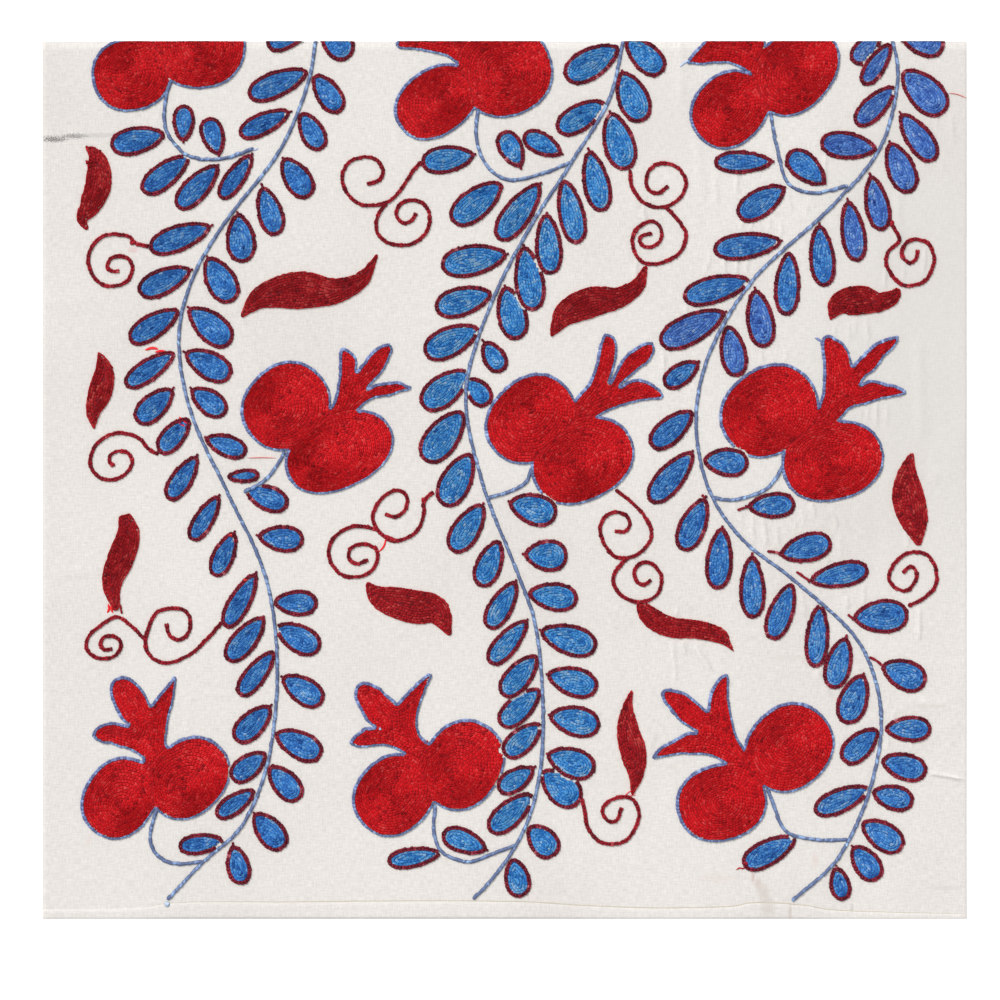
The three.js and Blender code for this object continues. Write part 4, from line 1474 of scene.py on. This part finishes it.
def cotton_material():
    """Plain-weave cotton with slubs, faint stains and marks, a grey smudge, and painted shade: the right
    side broadly darker and a fold's shadow near the hem.
    """
    material, tree, shader = new_material("ground_cotton")
    where = tree.nodes.new("ShaderNodeTexCoord").outputs["Object"]
    split = tree.nodes.new("ShaderNodeSeparateXYZ")
    tree.links.new(where, split.inputs[0])

    def stretched(x, y):
        node = tree.nodes.new("ShaderNodeMapping")
        node.inputs["Scale"].default_value = (x, y, 1)
        tree.links.new(where, node.inputs["Vector"])
        return node.outputs[0]

    def threads(axis, pitch, wobble):
        bent = maths(tree, "MULTIPLY_ADD", wobble, 0.0009, split.outputs[axis])
        return maths(tree, "SINE", maths(tree, "MULTIPLY", bent, 2 * math.pi / pitch))

    wander = noise_node(tree, where, 160.0, 2.0)
    warp, weft = threads(0, 0.00072, wander), threads(1, 0.00066, wander)
    weave = maths(tree, "MULTIPLY", warp, weft)
    slub_up = noise_node(tree, stretched(1500, 260), 1.0, 3.0)
    slub_across = noise_node(tree, stretched(260, 1500), 1.0, 3.0)
    slubs = maths(tree, "ADD", slub_up, slub_across)
    height = maths(tree, "MULTIPLY_ADD", weave, 0.35, slubs)
    bump = tree.nodes.new("ShaderNodeBump")
    bump.inputs["Strength"].default_value = 0.7
    bump.inputs["Distance"].default_value = 0.00012
    tree.links.new(height, bump.inputs["Height"])
    tree.links.new(bump.outputs[0], shader.inputs["Normal"])

    patchy = noise_node(tree, where, 9.0, 3.0)
    tint = ramp_node(tree, patchy, [
        (0.3, (233, 229, 225)), (0.5, (230, 226, 222)), (0.72, (226, 221, 217))])
    streak = maths(tree, "MULTIPLY_ADD", slubs, 0.32, 0.65)
    specks = maths(tree, "MULTIPLY_ADD", noise_node(tree, where, 1500.0, 2.0, 0.7), 0.07, streak)
    spread = maths(tree, "MULTIPLY_ADD", weave, 0.035, specks)
    shaded = tree.nodes.new("ShaderNodeVectorMath")
    shaded.operation = "SCALE"
    tree.links.new(tint, shaded.inputs[0])
    tree.links.new(spread, shaded.inputs["Scale"])
    colour = shaded.outputs[0]

    face = maths(tree, "MULTIPLY", split.outputs[2], 1500.0, clamp=True)
    # Each mark mixes in its tint: stains, smudges and marks, and painted shade, broad over the right side
    # and a fold's shadow near the hem.
    for mark in MARKS_AND_SHADE:
        centre = place(mark["x"], mark["y"]) * STEP
        across = maths(tree, "MULTIPLY", maths(tree, "SUBTRACT", split.outputs[0], float(centre[0])),
                       1 / (mark["reach_x"] * STEP))
        upward = maths(tree, "MULTIPLY", maths(tree, "SUBTRACT", split.outputs[1], float(centre[1])),
                       1 / (mark["reach_y"] * STEP))
        square = maths(tree, "ADD", maths(tree, "MULTIPLY", across, across),
                       maths(tree, "MULTIPLY", upward, upward))
        ragged = noise_node(tree, where, mark["fineness"], 2.0)
        rough = maths(tree, "MULTIPLY_ADD", ragged, mark["ragged"], square)
        near = maths(tree, "SUBTRACT", 1 + 0.5 * mark["ragged"], rough, clamp=True)
        share = maths(tree, "MULTIPLY", maths(tree, "MULTIPLY", near, mark["strength"]), face)
        tinge = linear(mark["red"], mark["green"], mark["blue"])
        colour = mixed(tree, "MIX", share, colour, tinge)
    tree.links.new(colour, shader.inputs["Base Color"])
    shader.inputs["Roughness"].default_value = 0.95
    shader.inputs["Specular IOR Level"].default_value = 0.1
    return material


COTTON = cotton_material()


# The ground cloth: a closed thin sheet with its bottom on the floor.
def build_cloth():
    across = np.r_[np.linspace(-CLOTH_HALF[0], 130, 150)[:-1], np.linspace(130, CLOTH_HALF[0], 225)]
    hem = np.interp(across, HEM[:, 0], HEM[:, 1])
    bottom = -CLOTH_HALF[1]
    lines = [bottom + t * (hem - 0.9 - bottom) for t in np.linspace(0, 1, 7)]
    lines += [hem + offset for offset in (-0.5, -0.1, 0.3, 0.7, 1.1, 1.5, 2.0, 2.7)]
    start = hem + 3.6
    crease_y = place(0, 777.5)[1]
    lines += [start + t * (crease_y - 6 - start) for t in np.linspace(0, 1, 28)]
    lines += [crease_y + t + 0 * across for t in (-4.5, -3, -2, -1, 0, 1, 2, 3, 4.5, 6)]
    fine_low, fine_high = place(0, 700)[1], place(0, 575)[1]
    heights = np.r_[np.arange(crease_y + 12, fine_low, 7.0), np.arange(fine_low, fine_high, 3.3),
                    np.arange(fine_high, CLOTH_HALF[1] - 4, 7.0), CLOTH_HALF[1]]
    lines += [height + 0 * across for height in heights]
    y = np.array(lines)
    x = np.broadcast_to(across, y.shape)
    count_y, count_x = y.shape
    z = surface(x.ravel(), y.ravel()).reshape(y.shape)
    z[0] -= 0.4
    z[:, 0] -= 0.35
    z[:, -1] -= 0.35
    z[-1] -= 0.35
    top = np.stack([x, y, z], -1).reshape(-1, 3)
    number = np.arange(count_y * count_x).reshape(count_y, count_x)
    a, b, c, d = number[:-1, :-1], number[:-1, 1:], number[1:, 1:], number[1:, :-1]
    faces = np.vstack([np.stack([a, b, c], -1).reshape(-1, 3), np.stack([a, c, d], -1).reshape(-1, 3)])
    rim = np.r_[number[0], number[1:, -1], number[-1, -2::-1], number[-2:0:-1, 0]]
    under = top[rim].copy()
    under[:, 2] = 0
    first = len(top)
    low = np.arange(first, first + len(rim))
    onward = np.roll(np.arange(len(rim)), -1)
    walls = np.vstack([np.stack([rim, low, low[onward]], -1),
                       np.stack([rim, low[onward], rim[onward]], -1)])
    points = np.vstack([top, under, [[0, 0, 0]]])
    base = np.stack([low[onward], low, np.full(len(rim), len(points) - 1)], -1)
    thread = np.zeros((len(points), 4))
    obj = mesh_object("cloth", points, np.vstack([faces, walls, base]), thread, COTTON)
    sharp = np.ones(len(obj.data.polygons), bool)
    sharp[len(faces):] = False
    obj.data.polygons.foreach_set("use_smooth", sharp)
    return settle(obj, ["ground_cloth"])


cloth = build_cloth()

for number, vine in enumerate(ALL_VINES):
    fill, edging = Stitching(), Stitching()
    sew_stem(vine, fill)
    for leaf in vine["leaves"]:
        sew_leaf(leaf, fill, edging, leaf_cast(leaf, number))
    fill.piece(vine["name"] + "_blue", BLUE, "blue_thread", [vine["name"]])
    edging.piece(vine["name"] + "_edging", MAROON, "maroon_thread", [])

fill, edging = Stitching(), Stitching()
for leaf in TOP_LEAVES:
    sew_leaf(leaf, fill, edging, leaf_cast(leaf, 2 if leaf["base_x"] > 600 else 0))
fill.piece("top_leaves_blue", BLUE, "blue_thread", [f"top_leaf_{n}" for n in range(1, 5)])
edging.piece("top_leaves_edging", MAROON, "maroon_thread", [])

for number, fruit in enumerate(POMEGRANATES):
    fill, edging = Stitching(), Stitching()
    sew_fruit(fruit, fill, edging, 50 + number)
    fill.piece(fruit["name"] + "_red", RED, "red_thread", [fruit["name"]])
    edging.piece(fruit["name"] + "_edging", BLUE, "blue_thread", [])

for number, stations in enumerate(BLADES, 1):
    node = f"curved_leaf_{number}"
    stitching = Stitching()
    sew_blade(stations, stitching, settle_tone(21, 0.5, 0.2))
    stitching.piece(node + "_stitches", MAROON, "maroon_thread", [node])

for number, routes in enumerate(TENDRILS, 1):
    node = f"tendril_{number}"
    stitching = Stitching()
    for text in routes:
        line = smooth(route(text), 1.2)
        for part, _ in rows([(line, False)],
                            lambda p: clear_of(p, FRUIT_OUTLINES + LEAF_OUTLINES, -0.6)):
            stitching.chain(part, False, TENDRIL_WIDTH, settle_tone(22, 0.28, 0.16), 0.6, "open")
    stitching.piece(node + "_stitches", MAROON, "maroon_thread", [node])

# Knots, stubs and loose threads. Rows: width, tone, hue and the route.
MAROON_STUBS = [
    (3.2, 0.45, 0.8, "738,510 748,507"), (3.2, 0.45, 0.8, "797,572 810,581"),
    (3.0, 0.45, 0.8, "848,615 853,618"),
    (3.2, 0.45, 0.8, "870,657 876,660 882,665"), (3.0, 0.45, 0.8, "705,498 702,495"),
    (3.0, 0.4, 0.8, "768,551 780,553"),
    (3.0, 0.4, 0.4, "86,146 90,156"), (3.0, 0.4, 0.4, "92,147 94,158"), (3.0, 0.4, 0.4, "100,150 97,160"),
    (2.6, 0.3, 0.6, "120,605 122,613"), (3.4, 0.45, 0.5, "386,536 396,540"),
]
MAROON_KNOTS = [
    (746, 864, 5.5, 0.25, 0.6), (230, 535, 4, 0.7, 0.0), (245, 580, 4, 0.7, 0.0),
    (423, 500, 5, 0.45, 0.5), (392, 540, 5.5, 0.4, 0.5),
    (113, 465, 4.5, 0.4, 0.5), (892, 222, 6, 0.45, 0.5), (132, 243, 5, 0.4, 0.6), (87, 162, 4, 0.4, 0.4),
]
RED_THREADS = [
    (0.5, 1.0, 0.0, "247,458 262,457.5 276,458"), (0.6, 1.0, 0.0, "949,93 957,94 967,98"),
    (1.4, 0.15, 0.0, "746,867 743,869 740,868 736,870"),
    (1.9, 0.7, 0.0, "386,538 384,546 379,552"),
    (2.4, 0.7, 0.0, "108,604 109,609 107,613"), (2.4, 0.8, 0.0, "112,604 111,609 113,613"),
    (2.6, 0.7, 0.0, "176,419 180,424 188,427"), (2.4, 0.6, 0.0, "179,417 184,421 187,424"),
    (3.0, 0.8, 0.0, "145,350 152,348 158,349"), (2.8, 0.7, 0.0, "155,352 162,351 167,353"),
    (0.9, 0.95, 0.0, "624,797 629,792 633,790"), (0.8, 1.0, 0.0, "626,799 630,796 636,795"),
]
BLUE_THREADS = [
    (1.9, 0.75, 0.8, "680,67 684,63 690,60"), (1.4, 0.4, 0.8, "386,346 388,344 390,343"),
    (1.2, 0.4, 0.8, "406,387 409,387 412,387.5"), (2.8, 0.15, 0.6, "815,338 818,339 822,342"),
    (1.4, 0.6, 0.6, "251,149 255,150 258,148"),
    (1.4, 0.5, 0.7, "272,363 275,366 279,366"),
]


def sew_threads(name, material, slot, strands, stubs=(), knots=(), pure=1.0):
    stitching = Stitching()
    stitching.pure = pure
    for width, tone, hue, text in strands:
        stitching.strand(smooth(route(text), 1.0), width, tone, hue)
    for width, tone, hue, text in stubs:
        stitching.chain(route(text), False, width, tone, hue, "round")
    for x, y, size, tone, hue in knots:
        stitching.knot(x, y, size, tone, hue)
    stitching.piece(name, material, slot, [])


sew_threads("stubs_and_knots", MAROON, "maroon_thread", [], MAROON_STUBS, MAROON_KNOTS)
sew_threads("loose_red_threads", RED, "red_thread", RED_THREADS)
sew_threads("loose_blue_threads", BLUE, "blue_thread", BLUE_THREADS, [],
            [(380, 729, 3, 0.5, 0.7), (167, 904, 6, 0.9, 0.3)], 0.6)
hem_thread = Stitching()
hem_thread.strand(HEM[HEM[:, 0] > place(137, 0)[0]], 0.8, 0.8, 0.0, height=0.25)
hem_thread.piece("hem_thread", TAN, "ground_cotton", [])

# The floor, the light and the camera.
floor_mesh = bpy.data.meshes.new("floor")
floor_mesh.from_pydata([(-3, -3, 0), (3, -3, 0), (3, 3, 0), (-3, 3, 0)], [], [(0, 1, 2, 3)])
floor = bpy.data.objects.new("floor", floor_mesh)
bpy.context.scene.collection.objects.link(floor)
paper, tree, shader = new_material("white_paper")
shader.inputs["Base Color"].default_value = (0.98, 0.98, 0.98, 1)
shader.inputs["Roughness"].default_value = 1.0
shader.inputs["Specular IOR Level"].default_value = 0.0
shader.inputs["Emission Color"].default_value = (1, 1, 1, 1)
shader.inputs["Emission Strength"].default_value = 0.6
floor_mesh.materials.append(paper)

world = bpy.data.worlds.new("room")
world.use_nodes = True
world.node_tree.nodes["Background"].inputs["Color"].default_value = (1, 1, 1, 1)
world.node_tree.nodes["Background"].inputs["Strength"].default_value = 0.6
bpy.context.scene.world = world
sun = bpy.data.lights.new("daylight", "SUN")
sun.energy = 2.2
sun.angle = math.radians(18)
sun.color = (1.0, 0.985, 0.965)
sun_object = bpy.data.objects.new("daylight", sun)
sun_object.rotation_euler = (math.radians(-38), math.radians(-34), 0)
bpy.context.scene.collection.objects.link(sun_object)

lens = bpy.data.cameras.new("camera")
lens.lens = 90
lens.sensor_width = 36
lens.clip_start = 0.05
lens.clip_end = 10
camera = bpy.data.objects.new("camera", lens)
camera.location = (-0.00225, -0.010, 1.2518)
bpy.context.scene.collection.objects.link(camera)
bpy.context.scene.camera = camera
bpy.context.scene.view_settings.view_transform = "Standard"
